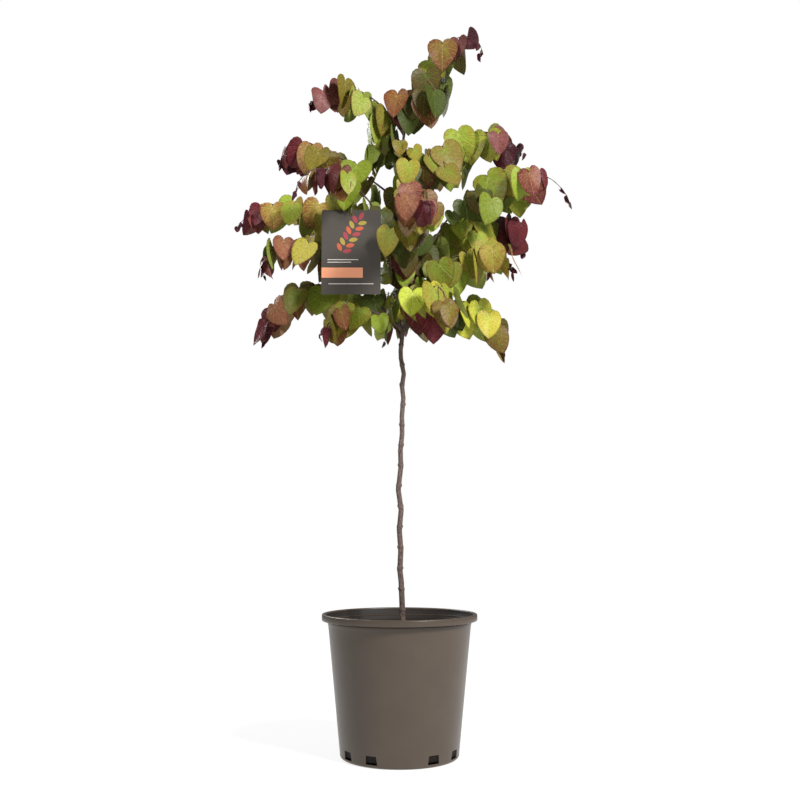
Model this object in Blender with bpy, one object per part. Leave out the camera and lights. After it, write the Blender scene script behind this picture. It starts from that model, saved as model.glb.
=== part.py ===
"""A young redbud grown as a small standard tree, standing in a round nursery pot.

Metres, +Z up. The origin is the middle of the pot's flat underside, and the view from the front
looks along +Y. The stem is a thin zigzag rod with a flared foot. It carries arching boughs, each
one tapering limb that ends where it enters its own mass of hanging leaves.
"""

import math
from typing import NamedTuple

import bmesh
import bpy
import numpy as np
from mathutils import Vector

UP = np.array([0.0, 0.0, 1.0])
GAP = 0.0003  # between touching pieces
TINY = 1e-6

# Pot: a number five nursery pot of thin moulded plastic
RIM_RADIUS = 0.1500
POT_HEIGHT = 0.2670
LIP_HEIGHT = 0.0140
LIP_INNER_RADIUS = 0.1425
LIP_ROUND = 0.0015
BODY_TOP_RADIUS = 0.1378
BODY_TOP_HEIGHT = 0.2478
BODY_FOOT_RADIUS = 0.1136
FOOT_HEIGHT = 0.0085
BASE_RADIUS = 0.1072
WALL = 0.0026
FLOOR = 0.0035
POT_SEGMENTS = 56
DRAIN_PAIRS = 4
DRAIN_PAIR_SPREAD = math.radians(15.0)
DRAIN_TURN = math.radians(3.0)
DRAIN_TOP_WIDTH = 0.0190
DRAIN_BOTTOM_WIDTH = 0.0230
DRAIN_LOW = 0.0075
DRAIN_HIGH = 0.0215
DRAIN_DEPTH = 0.0300
FOOT_CHAMFER_IN = 0.4  # shares of the foot's step in and of its height
FOOT_CHAMFER_UP = 0.25

# Potting mix that fills the pot to just under its rim
MIX_TOP = 0.2300
MIX_MOUND = 0.0030
MIX_SHOULDER = 0.75  # shares of the plug's radius where its top bends
MIX_CROWN = 0.30
MIX_SEGMENTS = 38

# Stem, from its flat cut on the mix to where the leader bends over
STEM_FOOT = MIX_TOP + MIX_MOUND + GAP
STEM_TOP = 1.2640
FORK_HEIGHT = 0.8050
FOOT_RADIUS = 0.0056
FORK_RADIUS = 0.0043
TOP_RADIUS = 0.0026
FLARE = 0.0022
FLARE_HEIGHT = 0.0120
NODE_SPACING = 0.0400
NODE_SWING = 0.0013
SWING_SPREAD = 0.8  # how far the swings differ from node to node
SWING_CHANGE = 2.4
SWING_BACK = 0.4  # shares of the swing and the sway that run back and forth
SWAY_BACK = 0.5
SWAY_BACK_START = 1.1
LEAN = 0.0042
SWAY = 0.0028
SWAY_LENGTH = 0.49
KINKS = (  # heights at which the bare stem bends, and how far to the right its middle is there
    (0.2330, 0.0057),
    (0.2810, 0.0051),
    (0.3270, 0.0032),
    (0.3500, 0.0006),
    (0.3880, 0.0024),
    (0.4270, -0.0004),
    (0.4660, 0.0031),
    (0.5050, -0.0026),
    (0.5500, 0.0024),
    (0.5830, 0.0015),
    (0.6150, 0.0049),
    (0.6500, 0.0046),
    (0.6870, 0.0074),
    (0.7110, 0.0048),
    (0.7350, 0.0084),
    (0.7670, 0.0026),
    (0.7830, 0.0021),
    (FORK_HEIGHT, 0.0047),
)
STEM_SIDES = 8
STEM_RINGS = 53  # spaced as for the whole stem; below the lowest fork there is one at each bend
FLARE_RINGS = 5

# Boughs and the masses of leaves on them
BOUGH_SIDES = 6
BOUGH_STEP = 0.018
BOUGH_START_SHARE = 0.78
BOUGH_END_RADIUS = 0.0013
BOUGH_TAPER = 0.8
RING_GUIDE = (0.36, 0.93, 0.05)  # a direction that no bough follows
SHARE_STEP = 0.01
LEAF_HALF_WIDTH = 0.042
LEAF_HALF_HEIGHT = 0.047
LEAF_HANG = 0.036
HANG_CURVE = 0.7
SWELL_SHARE = 0.35  # the share of a mass over which it swells to full size
NARROWING = 0.62  # how much of that size it loses again by its outer end
NARROWING_CURVE = 1.4
MASS_SIDES = 10
MASS_RINGS = 9
LOBE_RINGS = 7
LUMP = 0.11
MASS_TWISTS = (5.0, -9.0)
LOBE_TWISTS = (2.0, -3.0)
MASS_CLEARANCE = 0.0018
LIMB_CLEARANCE = 0.0004
LEAST_REACH = 0.0020
SEED = 7

# Label card, hung by a tie from a bough
CARD_WIDTH = 0.1136
CARD_HEIGHT = 0.1660
CARD_THICKNESS = 0.0010
CARD_CORNER = 0.0030
CARD_ACROSS = -0.0930
CARD_MIDDLE = 0.9570
CARD_BOUGH = "front_left"
CARD_HOLE_RADIUS = 0.0030
CARD_HOLE_DROP = 0.0080
CARD_GRID = (7, 9)
CORNER_STEPS = 4
DRILL_REACH = 0.0100
TIE_RADIUS = 0.0008
TIE_SIDES = 8
TIE_STEPS = 7
TIE_EASE = 1.15  # how loosely the tie goes round the bough
TIE_SEAT = 0.5  # how round the tie is below, as a share of its width
TIE_STEP = 0.05


class Bough(NamedTuple):
    """One limb: where it leaves the stem, how it arches, and where its leaves begin.

    azimuth is measured from +X towards +Y. The limb's slope goes from rise to fall over its
    length, late for a large bend. clothed is the share of the length where the leaves begin.
    """

    name: str
    height: float
    azimuth: float
    length: float
    rise: float
    fall: float
    bend: float
    clothed: float
    size: float


class Lobe(NamedTuple):
    """A mass of short shoots beside the stem: its middle and half sizes."""

    name: str
    centre: tuple
    half: tuple


BOUGHS = (
    Bough("top", 1.258, -5, 0.290, 68, -105, 4.0, 0.16, 0.88),
    Bough("left_top", 1.230, 183, 0.246, 56, -68, 2.1, 0.24, 0.88),
    Bough("left_high", 1.085, 170, 0.315, 40, -75, 4.5, 0.35, 0.92),
    Bough("left_middle", 0.960, 184, 0.380, 41, -58, 2.3, 0.45, 0.84),
    Bough("left_inner", 0.905, 194, 0.340, 32, -100, 3.1, 0.42, 0.86),
    Bough("left_low", FORK_HEIGHT, 168, 0.400, 66, -85, 1.3, 0.42, 0.92),
    Bough("right_high", 1.085, 10, 0.340, 66, -50, 1.8, 0.27, 0.95),
    Bough("right_long", 0.880, -3, 0.505, 63, -78, 2.9, 0.50, 1.00),
    Bough("right_middle", 0.945, 20, 0.350, 46, -82, 2.6, 0.42, 0.92),
    Bough("right_inner", 0.862, -17, 0.295, 50, -80, 2.5, 0.36, 0.90),
    Bough("right_low", 0.820, 6, 0.275, 56, -90, 1.2, 0.36, 0.88),
    Bough("front_left", 0.975, 226, 0.355, 50, -78, 2.3, 0.60, 0.92),
    Bough("front_middle", 0.915, -80, 0.360, 54, -70, 1.9, 0.34, 1.00),
    Bough("front_low", 0.842, -66, 0.250, 34, -80, 1.8, 0.36, 0.95),
    Bough("front_left_low", 0.826, 216, 0.215, 26, -75, 1.8, 0.40, 0.80),
    Bough("back_top", 1.150, 112, 0.220, 60, -62, 2.0, 0.26, 0.82),
    Bough("back_high", 1.100, 78, 0.360, 52, -70, 2.4, 0.30, 0.95),
    Bough("back_left", 0.975, 130, 0.395, 48, -80, 2.4, 0.40, 1.00),
    Bough("back_right", 0.905, 52, 0.395, 52, -80, 2.4, 0.40, 1.00),
    Bough("back_low", 0.854, 98, 0.320, 42, -84, 1.8, 0.38, 0.95),
)

LOBES = (
    Lobe("centre_high", (0.021, -0.033, 1.125), (0.044, 0.042, 0.055)),
    Lobe("centre_front", (0.036, -0.030, 0.990), (0.046, 0.044, 0.055)),
    Lobe("centre_left", (-0.052, -0.010, 1.060), (0.048, 0.044, 0.060)),
    Lobe("centre_back", (0.010, 0.058, 1.010), (0.046, 0.046, 0.065)),
)

PLASTIC_COLOUR = (0.12, 0.10, 0.085)
MIX_COLOUR = (0.045, 0.030, 0.020)
BARK_COLOUR = (0.17, 0.13, 0.10)
CARD_COLOUR = (0.075, 0.066, 0.060)
TIE_COLOUR = (0.10, 0.10, 0.09)
LEAF_COLOURS = ((0.09, 0.16, 0.03), (0.20, 0.26, 0.05), (0.16, 0.08, 0.05), (0.28, 0.32, 0.06))


def clear_scene():
    """Removes every object that the file opens with."""
    for thing in list(bpy.data.objects):
        bpy.data.objects.remove(thing, do_unlink=True)


def make_material(name, colour, roughness):
    """A plain surface of one colour."""
    material = bpy.data.materials.new(name)
    material.use_nodes = True
    shader = material.node_tree.nodes["Principled BSDF"]
    shader.inputs["Base Color"].default_value = (*colour, 1.0)
    shader.inputs["Roughness"].default_value = roughness
    return material


def add_object(name, shape, material, sharp_angle=math.radians(40.0)):
    """Puts a bmesh into the scene as a smooth-shaded object, with its creases kept sharp."""
    mesh = bpy.data.meshes.new(name)
    shape.to_mesh(mesh)
    shape.free()
    mesh.materials.append(material)
    thing = bpy.data.objects.new(name, mesh)
    bpy.context.collection.objects.link(thing)
    mesh.shade_smooth()
    mesh.set_sharp_from_angle(angle=sharp_angle)
    return thing


def turned(profile, segments):
    """A bmesh turned round Z from a profile of (radius, height) that starts and ends on the axis."""
    shape = bmesh.new()
    line = [shape.verts.new((radius, 0.0, height)) for radius, height in profile]
    for low, high in zip(line, line[1:]):
        shape.edges.new((low, high))
    bmesh.ops.spin(
        shape,
        geom=shape.verts[:] + shape.edges[:],
        cent=(0.0, 0.0, 0.0),
        axis=(0.0, 0.0, 1.0),
        angle=math.tau,
        steps=segments,
        use_merge=True,
    )
    bmesh.ops.remove_doubles(shape, verts=shape.verts, dist=TINY)
    bmesh.ops.recalc_face_normals(shape, faces=shape.faces)
    return shape


def lofted(rings, first_pole=None, last_pole=None):
    """A closed bmesh through rings of points, ended by flat caps or by poles.

    rings is an array of (ring, point, 3) whose points run the same way round in each ring.
    """
    shape = bmesh.new()
    loops = [[shape.verts.new(point) for point in ring] for ring in rings]
    count = len(loops[0])
    for low, high in zip(loops, loops[1:]):
        for i in range(count):
            j = (i + 1) % count
            shape.faces.new((low[i], low[j], high[j], high[i]))
    for loop, pole in ((loops[0], first_pole), (loops[-1], last_pole)):
        if pole is None:
            shape.faces.new(loop)
            continue
        tip = shape.verts.new(pole)
        for i in range(count):
            shape.faces.new((loop[i], loop[(i + 1) % count], tip))
    bmesh.ops.recalc_face_normals(shape, faces=shape.faces)
    bmesh.ops.triangulate(shape, faces=shape.faces)
    return shape


def tube_rings(points, radii, sides):
    """Rings square to a path, each with its own radius."""
    along = np.gradient(points, axis=0)
    along /= np.linalg.norm(along, axis=1, keepdims=True)
    side = np.cross(along, RING_GUIDE)
    side /= np.linalg.norm(side, axis=1, keepdims=True)
    other = np.cross(along, side)
    turn = np.linspace(0.0, math.tau, sides, endpoint=False)[None, :, None]
    ring = np.cos(turn) * side[:, None, :] + np.sin(turn) * other[:, None, :]
    return points[:, None, :] + np.asarray(radii)[:, None, None] * ring


def cut(thing, cutter):
    """Takes the cutter's shape out of a solid."""
    cutter.hide_render = True
    cutter.display_type = "WIRE"
    modifier = thing.modifiers.new("cut", "BOOLEAN")
    modifier.operation = "DIFFERENCE"
    modifier.solver = "EXACT"
    modifier.object = cutter


def stem_centre(height):
    """The stem's middle line: a slow sway and a small swing to each side at every leaf node.

    Below the lowest fork the bends across are the measured ones in KINKS.
    """
    height = np.asarray(height, dtype=float)
    above = height - STEM_FOOT
    sway = LEAN + SWAY * np.cos(math.tau * above / SWAY_LENGTH)
    node = above / NODE_SPACING
    swing = NODE_SWING * (1.0 - 2.0 * np.abs((node % 2.0) - 1.0))
    swing *= 1.0 + SWING_SPREAD * np.sin(SWING_CHANGE * np.floor(node))
    back = SWAY_BACK * SWAY * np.sin(math.tau * above / SWAY_LENGTH + SWAY_BACK_START)
    across = np.where(height < FORK_HEIGHT, np.interp(height, *zip(*KINKS)), sway + swing)
    return np.stack([across, back - SWING_BACK * swing, height], axis=-1)


def stem_radius(height):
    """The stem's radius: an even taper to the fork, a quicker one above it, and a flared foot."""
    height = np.asarray(height, dtype=float)
    taper = np.interp(
        height, [STEM_FOOT, FORK_HEIGHT, STEM_TOP], [FOOT_RADIUS, FORK_RADIUS, TOP_RADIUS]
    )
    return taper + FLARE * np.exp(-(height - STEM_FOOT) / FLARE_HEIGHT)


def bough_path(bough):
    """Points along a bough, evenly spaced by length: its slope turns from rise to fall."""
    count = max(8, round(bough.length / BOUGH_STEP) + 1)
    share = np.linspace(0.0, 1.0, count)
    slope = np.radians(bough.rise + (bough.fall - bough.rise) * share**bough.bend)
    azimuth = math.radians(bough.azimuth)
    flat = np.array([math.cos(azimuth), math.sin(azimuth), 0.0])
    step = np.cos(slope)[:, None] * flat + np.sin(slope)[:, None] * UP
    middle = (step[1:] + step[:-1]) / 2.0 * bough.length / (count - 1)
    offsets = np.concatenate([np.zeros((1, 3)), np.cumsum(middle, axis=0)])
    return stem_centre(bough.height) + offsets


def points_at(path, shares):
    """Points on a path at shares of its length from 0 to 1."""
    own = np.linspace(0.0, 1.0, len(path))
    return np.stack([np.interp(shares, own, path[:, axis]) for axis in range(3)], axis=-1)


def bough_radius(bough, shares):
    """A bough's radius, tapering from a share of the stem's where it leaves it."""
    start = BOUGH_START_SHARE * stem_radius(bough.height)
    return start + (BOUGH_END_RADIUS - start) * np.asarray(shares) ** BOUGH_TAPER


def clothed_line(bough):
    """The middle line of a bough's mass of leaves, which hangs below the bough itself."""
    shares = np.linspace(bough.clothed, 1.0, MASS_RINGS + 2)
    within = np.linspace(0.0, 1.0, MASS_RINGS + 2)
    hang = LEAF_HANG * bough.size * np.sin(math.pi * within) ** HANG_CURVE
    line = points_at(bough_path(bough), shares)
    line[:, 2] -= hang
    return line


def reach(centres, rays, wanted, others, limbs, limb_radii):
    """How far each ray may run from its centre, so that no two pieces meet.

    A ray stops half way to every point of the other masses' middle lines, and at the plane that
    touches each point of the limbs on its near side.
    """
    length = wanted.copy()
    for targets, radii in ((others, None), (limbs, limb_radii)):
        away = targets[None, None] - centres[:, None, None]
        far = np.linalg.norm(away, axis=-1)
        towards = np.einsum("ijkx,ijx->ijk", away.repeat(rays.shape[1], axis=1), rays)
        if radii is None:
            stop = far**2 / 2.0 - MASS_CLEARANCE * far
        else:
            stop = (far - radii - LIMB_CLEARANCE) * far
        allowed = np.where(towards > TINY, stop / np.maximum(towards, TINY), np.inf)
        length = np.minimum(length, allowed.min(axis=2))
    return np.maximum(length, LEAST_REACH)


def lumpy(turn, place, twists, rng):
    """How far a mass swells or sinks round its turns (across) and along its rings (down)."""
    first, second = rng.uniform(0.0, math.tau, 2)
    three = np.sin(3.0 * turn[None, :] + first + twists[0] * place[:, None])
    two = np.sin(2.0 * turn[None, :] + second + twists[1] * place[:, None])
    return 1.0 + LUMP * (three + two)


def leaf_mass(bough, others, limbs, limb_radii, rng):
    """An uneven closed mass that follows a bough's outer part and hangs below it."""
    line = clothed_line(bough)
    centres = line[1:-1]
    along = np.gradient(line, axis=0)[1:-1]
    along /= np.linalg.norm(along, axis=1, keepdims=True)
    azimuth = math.radians(bough.azimuth)
    side = np.array([-math.sin(azimuth), math.cos(azimuth), 0.0])
    crest = np.cross(along, side)
    within = np.linspace(0.0, 1.0, MASS_RINGS + 2)[1:-1]
    swell = np.sqrt(1.0 - np.clip(1.0 - within / SWELL_SHARE, 0.0, 1.0) ** 2)
    beyond = np.clip((within - SWELL_SHARE) / (1.0 - SWELL_SHARE), 0.0, 1.0)
    swell *= 1.0 - NARROWING * beyond**NARROWING_CURVE
    turn = np.linspace(0.0, math.tau, MASS_SIDES, endpoint=False)
    lumps = lumpy(turn, within, MASS_TWISTS, rng)
    width = LEAF_HALF_WIDTH * bough.size
    height = LEAF_HALF_HEIGHT * bough.size
    flat = np.cos(turn)[None, :, None] * side * width
    tall = np.sin(turn)[None, :, None] * crest[:, None, :] * height
    spokes = (flat + tall) * (lumps * swell[:, None])[..., None]
    wanted = np.linalg.norm(spokes, axis=-1)
    rays = spokes / wanted[..., None]
    path = bough_path(bough)
    ends = points_at(path, [bough.clothed - SHARE_STEP, bough.clothed])
    onward = (ends[1] - ends[0]) / np.linalg.norm(ends[1] - ends[0])
    backward = -np.einsum("ijx,x->ij", rays, onward)
    ahead = ((centres - ends[1]) @ onward - MASS_CLEARANCE)[:, None]
    behind = np.where(backward > TINY, ahead / np.maximum(backward, TINY), np.inf)
    wanted = np.minimum(wanted, behind)
    length = reach(centres, rays, wanted, others, limbs, limb_radii)
    start = ends[1] + GAP * onward
    return lofted(centres[:, None, :] + rays * length[..., None], start, line[-1])


def lobe_mass(lobe, others, limbs, limb_radii, rng):
    """An uneven closed mass round a middle beside the stem, flattened where it meets a limb."""
    turn = np.linspace(0.0, math.tau, MASS_SIDES, endpoint=False)
    fall = np.linspace(0.0, math.pi, LOBE_RINGS + 2)
    ball = np.stack(
        [
            np.sin(fall)[:, None] * np.cos(turn)[None, :],
            np.sin(fall)[:, None] * np.sin(turn)[None, :],
            np.cos(fall)[:, None] * np.ones_like(turn)[None, :],
        ],
        axis=-1,
    )
    spokes = ball * np.array(lobe.half) * lumpy(turn, fall, LOBE_TWISTS, rng)[..., None]
    wanted = np.linalg.norm(spokes, axis=-1)
    rays = spokes / wanted[..., None]
    centres = np.broadcast_to(np.array(lobe.centre), (len(fall), 3))
    length = reach(centres, rays, wanted, others, limbs, limb_radii)
    surface = centres[:, None, :] + rays * length[..., None]
    return lofted(surface[1:-1], surface[0, 0], surface[-1, 0])


def build_pot(material):
    """The hollow pot: a tapered body under a stepped lip, with four pairs of drain holes."""
    lip_low = POT_HEIGHT - LIP_HEIGHT
    inner_top = BODY_TOP_RADIUS - WALL
    chamfer = BODY_FOOT_RADIUS - FOOT_CHAMFER_IN * (BODY_FOOT_RADIUS - BASE_RADIUS)
    profile = [
        (0.0, FLOOR),
        (BASE_RADIUS, FLOOR),
        (BODY_FOOT_RADIUS - WALL, FOOT_HEIGHT + 0.5 * WALL),
        (inner_top, BODY_TOP_HEIGHT + WALL),
        (LIP_INNER_RADIUS - LIP_ROUND, lip_low + WALL),
        (LIP_INNER_RADIUS, POT_HEIGHT - LIP_ROUND),
        (LIP_INNER_RADIUS + LIP_ROUND, POT_HEIGHT),
        (RIM_RADIUS - LIP_ROUND, POT_HEIGHT),
        (RIM_RADIUS, POT_HEIGHT - LIP_ROUND),
        (RIM_RADIUS, lip_low + LIP_ROUND),
        (RIM_RADIUS - LIP_ROUND, lip_low),
        (BODY_TOP_RADIUS + WALL, lip_low - WALL),
        (BODY_TOP_RADIUS, BODY_TOP_HEIGHT),
        (BODY_FOOT_RADIUS, FOOT_HEIGHT),
        (chamfer, FOOT_CHAMFER_UP * FOOT_HEIGHT),
        (BASE_RADIUS, 0.0),
        (0.0, 0.0),
    ]
    pot = add_object("pot", turned(profile, POT_SEGMENTS), material)
    for pair in range(DRAIN_PAIRS):
        for side in (-1.0, 1.0):
            turn = math.tau * (pair + 0.5) / DRAIN_PAIRS + side * DRAIN_PAIR_SPREAD + DRAIN_TURN
            cut(pot, drain_cutter(f"drain_cutter_{pair}_{int(side > 0)}", turn))
    return pot


def drain_cutter(name, turn):
    """A wedge with a narrower top, run through the wall at one place round the pot's foot."""
    shape = bmesh.new()
    corners = (
        (-DRAIN_BOTTOM_WIDTH / 2.0, DRAIN_LOW),
        (DRAIN_BOTTOM_WIDTH / 2.0, DRAIN_LOW),
        (DRAIN_TOP_WIDTH / 2.0, DRAIN_HIGH),
        (-DRAIN_TOP_WIDTH / 2.0, DRAIN_HIGH),
    )
    face = shape.faces.new([shape.verts.new((0.0, across, high)) for across, high in corners])
    sweep = bmesh.ops.extrude_face_region(shape, geom=[face])
    moved = [item for item in sweep["geom"] if isinstance(item, bmesh.types.BMVert)]
    bmesh.ops.translate(shape, verts=moved, vec=Vector((DRAIN_DEPTH, 0.0, 0.0)))
    bmesh.ops.recalc_face_normals(shape, faces=shape.faces)
    mesh = bpy.data.meshes.new(name)
    shape.to_mesh(mesh)
    shape.free()
    cutter = bpy.data.objects.new(name, mesh)
    middle = BODY_FOOT_RADIUS - DRAIN_DEPTH / 2.0
    direction = turn - math.pi / 2.0
    cutter.location = (middle * math.cos(direction), middle * math.sin(direction), 0.0)
    cutter.rotation_euler = (0.0, 0.0, direction)
    bpy.context.collection.objects.link(cutter)
    return cutter


def build_mix(material):
    """The potting mix: a plug that fills the pot, with a slightly mounded top."""
    inside = BODY_TOP_RADIUS - WALL - GAP
    rate = (BODY_TOP_RADIUS - BODY_FOOT_RADIUS) / (BODY_TOP_HEIGHT - FOOT_HEIGHT)
    edge_top = inside - rate * (BODY_TOP_HEIGHT + WALL - MIX_TOP) - GAP
    low = FOOT_HEIGHT + WALL
    edge_low = inside - rate * (BODY_TOP_HEIGHT + WALL - low) - GAP
    profile = [
        (0.0, FLOOR + GAP),
        (BASE_RADIUS - WALL, FLOOR + GAP),
        (edge_low, low),
        (edge_top, MIX_TOP - MIX_MOUND),
        (MIX_SHOULDER * edge_top, MIX_TOP),
        (MIX_CROWN * edge_top, MIX_TOP + MIX_MOUND),
        (0.0, MIX_TOP + MIX_MOUND),
    ]
    return add_object("potting_mix", turned(profile[::-1], MIX_SEGMENTS), material)


def build_stem(material, grow=0.0, name="stem"):
    """The stem as one whole rod; grow makes it fatter, to cut the boughs' ends to its round."""
    bends = [height for height, _ in KINKS[1:-1]]
    foot = np.linspace(STEM_FOOT, bends[0], FLARE_RINGS, endpoint=False)
    even = np.linspace(STEM_FOOT, STEM_TOP, STEM_RINGS)
    heights = np.concatenate([foot, bends, even[even > bends[-1]]])
    turn = np.linspace(0.0, math.tau, STEM_SIDES, endpoint=False)
    circle = np.stack([np.cos(turn), np.sin(turn), np.zeros(STEM_SIDES)], axis=-1)
    radii = (stem_radius(heights) + grow)[:, None, None]
    return add_object(name, lofted(stem_centre(heights)[:, None, :] + radii * circle), material)


def build_bough(bough, material, stem_cutter):
    """The bare inner part of a bough, cut to the stem's round and ended where leaves begin."""
    count = max(4, round(bough.length * bough.clothed / BOUGH_STEP) + 1)
    shares = np.linspace(0.0, bough.clothed, count)
    points = points_at(bough_path(bough), shares)
    rings = tube_rings(points, bough_radius(bough, shares), BOUGH_SIDES)
    name = "leader" if bough.name == "top" else f"bough_{bough.name}"
    limb = add_object(name, lofted(rings), material)
    cut(limb, stem_cutter)
    return limb


def card_carrier():
    """The bough that the card hangs from, and the share of its length right over the card."""
    carrier = next(bough for bough in BOUGHS if bough.name == CARD_BOUGH)
    path = bough_path(carrier)
    return carrier, np.interp(-CARD_ACROSS, -path[:, 0], np.linspace(0.0, 1.0, len(path)))


def card_centre():
    """The middle of the card, straight below the point that it hangs from."""
    carrier, share = card_carrier()
    return np.array([CARD_ACROSS, points_at(bough_path(carrier), [share])[0][1], CARD_MIDDLE])


def card_points():
    """A grid over the label card, which the leaves behind it stay clear of."""
    centre = card_centre()
    xs = centre[0] + np.linspace(-0.5, 0.5, CARD_GRID[0]) * CARD_WIDTH
    zs = centre[2] + np.linspace(-0.5, 0.5, CARD_GRID[1]) * CARD_HEIGHT
    grid_x, grid_z = np.meshgrid(xs, zs)
    return np.stack([grid_x.ravel(), np.full(grid_x.size, centre[1]), grid_z.ravel()], axis=-1)


def build_card(material, tie_material):
    """A thin label card with rounded corners and a hole, and the tie that hangs it from a bough."""
    shape = bmesh.new()
    outline = []
    for across, up, turn in ((1, 1, 0.0), (-1, 1, 0.5), (-1, -1, 1.0), (1, -1, 1.5)):
        middle_x = across * (CARD_WIDTH / 2.0 - CARD_CORNER)
        middle_z = up * (CARD_HEIGHT / 2.0 - CARD_CORNER)
        for step in range(CORNER_STEPS):
            angle = math.pi * (turn + 0.5 * step / (CORNER_STEPS - 1))
            x = middle_x + CARD_CORNER * math.cos(angle)
            z = middle_z + CARD_CORNER * math.sin(angle)
            outline.append(shape.verts.new((x, -CARD_THICKNESS / 2.0, z)))
    face = shape.faces.new(outline)
    sweep = bmesh.ops.extrude_face_region(shape, geom=[face])
    moved = [item for item in sweep["geom"] if isinstance(item, bmesh.types.BMVert)]
    bmesh.ops.translate(shape, verts=moved, vec=Vector((0.0, CARD_THICKNESS, 0.0)))
    bmesh.ops.recalc_face_normals(shape, faces=shape.faces)
    card = add_object("label_card", shape, material)
    card.location = card_centre()
    hole = card_centre() + (CARD_HEIGHT / 2.0 - CARD_HOLE_DROP) * UP
    through = np.array([[0.0, -DRILL_REACH, 0.0], [0.0, DRILL_REACH, 0.0]])
    drill = lofted(tube_rings(hole + through, [CARD_HOLE_RADIUS] * 2, 2 * TIE_SIDES))
    cut(card, add_object("hole_cutter", drill, material))
    build_tie(tie_material, hole)


def build_tie(material, hole):
    """A closed loop through the card's hole and over the bough above it."""
    carrier, share = card_carrier()
    over, before = points_at(bough_path(carrier), [share, share - TIE_STEP])
    along = over - before
    thick = bough_radius(carrier, share) * TIE_EASE
    wide = thick * math.hypot(1.0, along[1] / along[0]) + TIE_RADIUS + GAP
    tall = thick * math.hypot(1.0, along[2] / along[0]) + TIE_RADIUS + GAP
    half_turn = np.linspace(0.0, math.pi, TIE_STEPS)
    across = np.array([0.0, 1.0, 0.0])
    high = [over + wide * math.cos(a) * across + tall * math.sin(a) * UP for a in half_turn]
    dip = CARD_HOLE_RADIUS - TIE_RADIUS - 2.0 * GAP
    seat = hole + (TIE_SEAT * wide - dip) * UP
    low = [seat - wide * (math.cos(a) * across + TIE_SEAT * math.sin(a) * UP) for a in half_turn]
    loop = np.array(high + low)
    along = np.roll(loop, -1, axis=0) - np.roll(loop, 1, axis=0)
    along /= np.linalg.norm(along, axis=1, keepdims=True)
    side = np.array([1.0, 0.0, 0.0])
    other = np.cross(along, side)
    turn = np.linspace(0.0, math.tau, TIE_SIDES, endpoint=False)[None, :, None]
    rings = loop[:, None, :] + TIE_RADIUS * (np.cos(turn) * side + np.sin(turn) * other[:, None, :])
    shape = bmesh.new()
    loops = [[shape.verts.new(point) for point in ring] for ring in rings]
    for low_ring, high_ring in zip(loops, loops[1:] + loops[:1]):
        for i in range(TIE_SIDES):
            j = (i + 1) % TIE_SIDES
            shape.faces.new((low_ring[i], low_ring[j], high_ring[j], high_ring[i]))
    bmesh.ops.recalc_face_normals(shape, faces=shape.faces)
    add_object("card_tie", shape, material)


def build_leaves(materials):
    """Every mass of leaves, each kept clear of the others, of the limbs and of the label card."""
    rng = np.random.default_rng(SEED)
    lines = {bough.name: clothed_line(bough) for bough in BOUGHS}
    for lobe in LOBES:
        lines[lobe.name] = np.array([lobe.centre])
    heights = np.linspace(STEM_FOOT, STEM_TOP, 2 * STEM_RINGS)
    limb_points = [stem_centre(heights), card_points()]
    limb_sizes = [stem_radius(heights), np.full(len(limb_points[1]), CARD_THICKNESS)]
    bare = {}
    for bough in BOUGHS:
        shares = np.linspace(0.0, bough.clothed, 24)
        bare[bough.name] = (points_at(bough_path(bough), shares), bough_radius(bough, shares))
    for index, item in enumerate((*BOUGHS, *LOBES)):
        others = np.concatenate([line for name, line in lines.items() if name != item.name])
        foreign = [pair for name, pair in bare.items() if name != item.name]
        limbs = np.concatenate(limb_points + [points for points, _ in foreign])
        sizes = np.concatenate(limb_sizes + [radii for _, radii in foreign])
        make = leaf_mass if isinstance(item, Bough) else lobe_mass
        shape = make(item, others, limbs, sizes, rng)
        add_object(f"leaves_{item.name}", shape, materials[index % len(materials)])


def main():
    """Builds the pot, its mix, the stem, the boughs, the masses of leaves and the label card."""
    clear_scene()
    plastic = make_material("pot_plastic", PLASTIC_COLOUR, 0.45)
    bark_mix = make_material("bark_mix", MIX_COLOUR, 0.95)
    bark = make_material("bark", BARK_COLOUR, 0.80)
    card = make_material("card_stock", CARD_COLOUR, 0.55)
    tie = make_material("tie_plastic", TIE_COLOUR, 0.50)
    leaves = [make_material(f"leaves_{i}", colour, 0.60) for i, colour in enumerate(LEAF_COLOURS)]
    build_pot(plastic)
    build_mix(bark_mix)
    build_stem(bark)
    cutter = build_stem(bark, GAP, "stem_cutter")
    for bough in BOUGHS:
        build_bough(bough, bark, cutter)
    build_card(card, tie)
    build_leaves(leaves)


main()
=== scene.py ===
"""Looks of a young redbud tree in a nursery pot: bark, twigs, leaves, pot, potting mix and card."""

import logging
import math
from dataclasses import dataclass, field
from enum import Enum

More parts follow.
